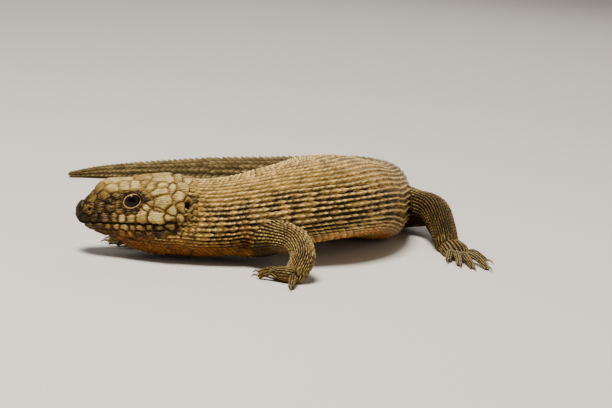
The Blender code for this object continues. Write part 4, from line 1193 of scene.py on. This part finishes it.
def make_body_scales(sheet, limbs, finish):
    """Scales of the throat, neck, trunk and tail."""
    template = scale_template(6, 7)
    # The rows run unbroken from the throat to the hips, and leave the ear free
    coat = rows_of_scales(SCALE_LENGTHS[0, 0], TAIL_COAT[0][0] - 0.5, BODY_ROWS, SCALE_LENGTHS)
    first = np.interp(low_side(coat["angle"]), *COAT_FROM)
    behind = coat["s"] - first - CHANCE.normal(0.0, 0.6, len(first))
    fresh = 0.66 + 0.34 * smoothly(behind, 0.0, 4.0)
    coat = chosen(dict(coat, length=coat["length"] * fresh, half=coat["half"] * fresh), behind > 0.0)
    for name, low, high in COAT_PIECES:
        place = chosen(coat, (coat["s"] >= low) & (coat["s"] < high))
        place["body"] = body_marks(place["s"], place["angle"])
        flat = place["body"][:, 0]
        size = place["length"] / (SCALE_COVER * BODY_SCALE)
        place["size"] = size
        on_back = smoothly(low_side(place["angle"]), 105.0, 150.0)
        hips = smoothly(place["s"], 96.0, 130.0)
        rise = size * (0.56 - 0.34 * flat) * (1.0 - 0.35 * on_back) * (1.0 - 0.25 * hips)
        place["rise"] = rise * CHANCE.uniform(0.7, 1.3, len(flat))
        place["keel"] = size * (0.34 - 0.26 * flat)
        place = bare_scales(sheet, place, limbs, 0.5, 0.5, 0.2)
        lay_scales(name, sheet, place, template, finish)
    tail = [rows_of_scales(*part, 1.45) for part in TAIL_COAT]
    place = {key: np.concatenate([part[key] for part in tail]) for key in tail[0]}
    place["body"] = body_marks(place["s"], place["angle"])
    flat = place["body"][:, 0]
    spiny = 0.35 + 0.65 * smoothly(place["s"], 377.0, 330.0)
    spiny = spiny * (0.6 + 0.4 * smoothly(place["s"], 172.0, 230.0))
    place["rise"] = (0.75 - 0.6 * flat) * spiny
    place["keel"] = (0.42 - 0.34 * flat) * spiny
    place = bare_scales(sheet, place, limbs, 0.5, 0.5, 0.2)
    lay_scales("scales_tail", sheet, place, template, finish)


def limb_marks(sheet, place, hind, dusk_shade):
    """Where on a leg a scale is, in the same four numbers as on the body."""
    normal = sheet.normal(place["s"], place["angle"])
    under = 0.8 * smoothly(-normal[:, 2], 0.1, 0.7)
    count = len(place["s"])
    stripe = CHANCE.uniform(0.5, 1.0, count) * (1.0 - under)
    shade_and_darkening = np.full(count, dusk_shade)
    if hind and dusk_shade > 0.5:
        # Painted shade darkens the hind leg away from the hip and on its underside
        shade_and_darkening = dusk_shade + 0.3 * smoothly(place["s"], 26.0, 44.0) + 0.25 * smoothly(-normal[:, 2], -0.2, 0.4)
        shade_and_darkening = np.minimum(shade_and_darkening, 1.0) * (0.15 + 0.85 * smoothly(place["s"], 8.0, 24.0))
    if not hind and dusk_shade < 0.2:
        # Painted shade darkens the upper arm underneath
        shade_and_darkening = dusk_shade + 0.8 * smoothly(-normal[:, 2], 0.0, 0.6) * smoothly(place["s"], 24.0, 14.0)
    # The thigh's first scales keep the colours of the tail's root
    like_tail = smoothly(place["s"], 18.0, 4.0) * hind
    return np.stack((under, stripe, shade_and_darkening, like_tail), axis=1)


def make_legs(body, limbs, finish, claw_finish):
    """Scales and claws of the four legs; gives back each limb's sheet with those of its toes."""
    small, tiny = scale_template(4, 5), scale_template(4, 4)
    sheets, toes = [], []
    for limb, (_, _, toe_list, nodes) in zip(limbs, LEGS.values()):
        claw = FORE_CLAW if nodes[2].startswith("hand") else HIND_CLAW
        fingers = [toe_path(*one, claw) for one in toe_list]
        sheets.append((limb, [tube(fine, 20, 0.7) for fine, _ in fingers]))
        toes.extend((nodes[2], number, fine, point) for number, (fine, point) in enumerate(fingers, start=1))
    for name, (limb, fingers) in zip(LEGS, sheets):
        fore = name.startswith("fore")
        rows, pitch, foot_length, leg_shade, foot_shade = FORE_COAT if fore else HIND_COAT
        wrist = limb.rows[-1] - foot_length
        # Each part: sheet, scales, template, what buries them, painted shade, and its shelf on the bake map
        parts = [(limb, rows_of_scales(0.0, wrist, rows, pitch), small, [body], leg_shade, 0.0, 0.30),
                 (limb, rows_of_scales(wrist, limb.rows[-1] - 0.5, 20, 1.3), tiny, [], foot_shade, 0.32, 0.20)]
        for number, finger in enumerate(fingers):
            scales = rows_of_scales(0.0, finger.rows[-1] - 0.2, 8, 1.15)
            parts.append((finger, scales, tiny, [limb], 0.35, 0.54 + 0.08 * number, 0.06))
        made = []
        for number, (sheet, place, template, others, dusk_shade, shelf, tall) in enumerate(parts):
            size, rise, keel = LEG_SCALE if number == 0 else FOOT_SCALE
            place["body"] = limb_marks(sheet, place, not fore, dusk_shade)
            flat = place["body"][:, 0]
            place["size"] = np.full(len(flat), size)
            place["rise"] = rise * (1.0 - 0.6 * flat)
            place["keel"] = keel * (1.0 - 0.7 * flat)
            place = bare_scales(sheet, place, others, 0.4, 0.35, 0.15)
            patch = (0.02, 0.02 + shelf, 0.96, tall)
            label = "leg_part_%s_%d" % (name, number)
            made.append(lay_scales(label, sheet, place, template, finish, patch))
        join_into("scales_leg_" + name, made)
    for foot, number, fine, point in toes:
        make_claw("claw_%s_%d" % (foot, number), fine, point, claw_finish, "%s_claw_%d" % (foot, number))
    return sheets


def make_claw(name, toe, point, finish, node):
    """A curved claw, deeper than wide, that tapers to its point."""
    tip = toe[-1, :3]
    ahead = toe[-1, :3] - toe[-2, :3]
    ahead[2] = 0.0
    ahead /= np.linalg.norm(ahead)
    start = tip - ahead * 0.5 + np.array((0.0, 0.0, 0.15))
    middle = tip + ahead * 1.8 + np.array((0.0, 0.0, 1.5))
    t = np.linspace(0.0, 1.0, 14)[:, None]
    line = start * (1 - t) ** 2 + middle * 2 * t * (1 - t) + point * t * t
    thick = 0.78 * (1.0 - t[:, 0]) ** 0.75 + 0.03
    sides = 12
    sheet = tube(np.column_stack((line, thick * 0.62, thick * 0.95)), sides, 0.3, 0.04)
    count = len(sheet.rows)
    obj = mesh_object(name, sheet.points.reshape(-1, 3), grid_faces(count, sides))
    last = (count - 1) * sides
    close_end(obj, [[first, first + k, first + k + 1] for first in (0, last) for k in range(1, sides - 1)])
    keep_values(obj, "on_claw", np.repeat(np.repeat(sheet.rows / sheet.rows[-1], sides)[:, None], 4, axis=1))
    obj.data.materials.append(finish)
    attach(obj, "root")
    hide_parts(node)


def make_skin(body, legs, finish):
    """One hide for neck, trunk, tail and legs, with no seam, just under the scales."""
    columns = 96
    angles = round_angles(columns)
    lengths = np.arange(SKIN_FROM, TAIL_END - 0.2, 1.2)
    trunk = [body.at(np.full(columns, s), angles, -SKIN_UNDER) for s in lengths]
    lofts = [np.array(trunk)]
    for limb, fingers in legs:
        for sheet in [limb] + fingers:
            moved = sheet.points - sheet.normals * (SKIN_UNDER * 0.9)
            moved[..., 2] = np.maximum(moved[..., 2], 0.05)
            lofts.append(moved)
    points, faces, caps, offset = [], [], [], 0
    for loft in lofts:
        rows, columns = loft.shape[:2]
        points.append(loft.reshape(-1, 3))
        faces.append(grid_faces(rows, columns) + offset)
        caps.append([offset + k for k in range(columns)][::-1])
        caps.append([offset + (rows - 1) * columns + k for k in range(columns)])
        offset += rows * columns
    mesh = bpy.data.meshes.new("skin")
    mesh.from_pydata((np.vstack(points) * MM).tolist(), [], np.vstack(faces).tolist() + caps)
    obj = bpy.data.objects.new("skin", mesh)
    bpy.context.scene.collection.objects.link(obj)
    fuse = obj.modifiers.new("fuse", "REMESH")
    fuse.mode = "VOXEL"
    fuse.voxel_size = SKIN_GRAIN * MM
    soften = obj.modifiers.new("soften", "SMOOTH")
    soften.factor = 0.5
    soften.iterations = 4
    bpy.context.view_layer.update()
    fused = bpy.data.meshes.new_from_object(obj.evaluated_get(bpy.context.evaluated_depsgraph_get()))
    obj.modifiers.clear()
    obj.data = fused
    fused.shade_smooth()
    # The hide takes the markings of the scale nearest to each point
    tree = search_tree(np.vstack([place for place, _ in SCALE_ROOTS]))
    marks = np.vstack([mark for _, mark in SCALE_ROOTS])
    where = np.zeros(len(fused.vertices) * 3, dtype=np.float32)
    fused.vertices.foreach_get("co", where)
    owners = np.array([tree.find(place)[1] for place in where.reshape(-1, 3) / MM])
    keep_values(obj, "on_body", marks[owners])
    # The hide reads as a point halfway along a scale's side, so it takes the dark of the sides and part of
    # the painted shade at a scale's root
    keep_values(obj, "on_scale", np.tile(np.array((0.5, 0.85, 0.3, 0.0)), (len(owners), 1)))
    obj.data.materials.append(finish)
    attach(obj, "root")
    flesh = ["neck", "torso_chest", "torso_belly", "torso_hips"] + ["tail_%d" % k for k in range(1, 6)]
    for _, _, _, nodes in LEGS.values():
        flesh.extend(nodes)
    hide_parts(*flesh)


def place_camera():
    down, roll = math.radians(CAMERA_DOWN), math.radians(CAMERA_ROLL)
    ahead = Vector((0.0, math.cos(down), -math.sin(down)))
    level = Vector((1.0, 0.0, 0.0))
    upright = level.cross(ahead)
    right = level * math.cos(roll) + upright * math.sin(roll)
    up = upright * math.cos(roll) - level * math.sin(roll)
    u = (PALM_PIXEL[0] - PICTURE[0] / 2) / CAMERA_PIXELS
    v = (PICTURE[1] / 2 - PALM_PIXEL[1]) / CAMERA_PIXELS
    place = -(ahead + right * u + up * v) * CAMERA_AWAY
    place -= Vector((*PALM_TO_REST, 0.0))
    data = bpy.data.cameras.new("camera")
    data.sensor_width = 36.0
    data.lens = CAMERA_PIXELS / PICTURE[0] * data.sensor_width
    data.clip_start = 0.01
    camera = bpy.data.objects.new("camera", data)
    camera.matrix_world = Matrix((
        (right.x, up.x, -ahead.x, place.x * MM),
        (right.y, up.y, -ahead.y, place.y * MM),
        (right.z, up.z, -ahead.z, place.z * MM),
        (0.0, 0.0, 0.0, 1.0),
    ))
    bpy.context.scene.collection.objects.link(camera)
    bpy.context.scene.camera = camera


def make_studio():
    """A plain pale floor, a soft warm main light with a weaker one opposite, and the camera."""
    half = FLOOR_HALF
    corners = np.array(((-half, -half, 0), (half, -half, 0), (half, half, 0), (-half, half, 0)), float)
    floor = mesh_object("floor", corners, np.array(((0, 1, 2, 3),)))
    floor.data.materials.append(matt_board())
    for name, place, power, size, tint in LIGHTS:
        lamp = bpy.data.lights.new(name, "AREA")
        lamp.energy = power
        lamp.size = size
        lamp.color = tint
        holder = bpy.data.objects.new(name, lamp)
        holder.location = place
        holder.rotation_euler = (Vector(LIGHTS_AIM) - Vector(place)).to_track_quat("-Z", "Y").to_euler()
        bpy.context.scene.collection.objects.link(holder)
    sky = bpy.data.worlds.new("studio")
    sky.use_nodes = True
    inputs = sky.node_tree.nodes["Background"].inputs
    inputs["Color"].default_value = (0.90, 0.89, 0.87, 1.0)
    inputs["Strength"].default_value = 0.16
    bpy.context.scene.world = sky
    place_camera()


def main():
    make_studio()
    body_finish = scale_keratin("body_scale_keratin", BODY_COLOURS, TAIL_COLOURS, 0.52, 0.285)
    leg_finish = scale_keratin("leg_scale_keratin", LEG_COLOURS, TAIL_COLOURS, 0.52, 0.32)
    tubes = [tube(from_palm(path + palm[1:])) for path, palm, _, _ in LEGS.values()]
    body, limbs = melt_together(body_sheet(), tubes)
    legs = make_legs(body, limbs, leg_finish, claw_keratin())
    make_body_scales(body, limbs, body_finish)
    make_skin(body, legs, body_finish)
    make_head_shell(shield_keratin())
    make_ear_lobules(body, body_finish)
    make_eyes()


main()
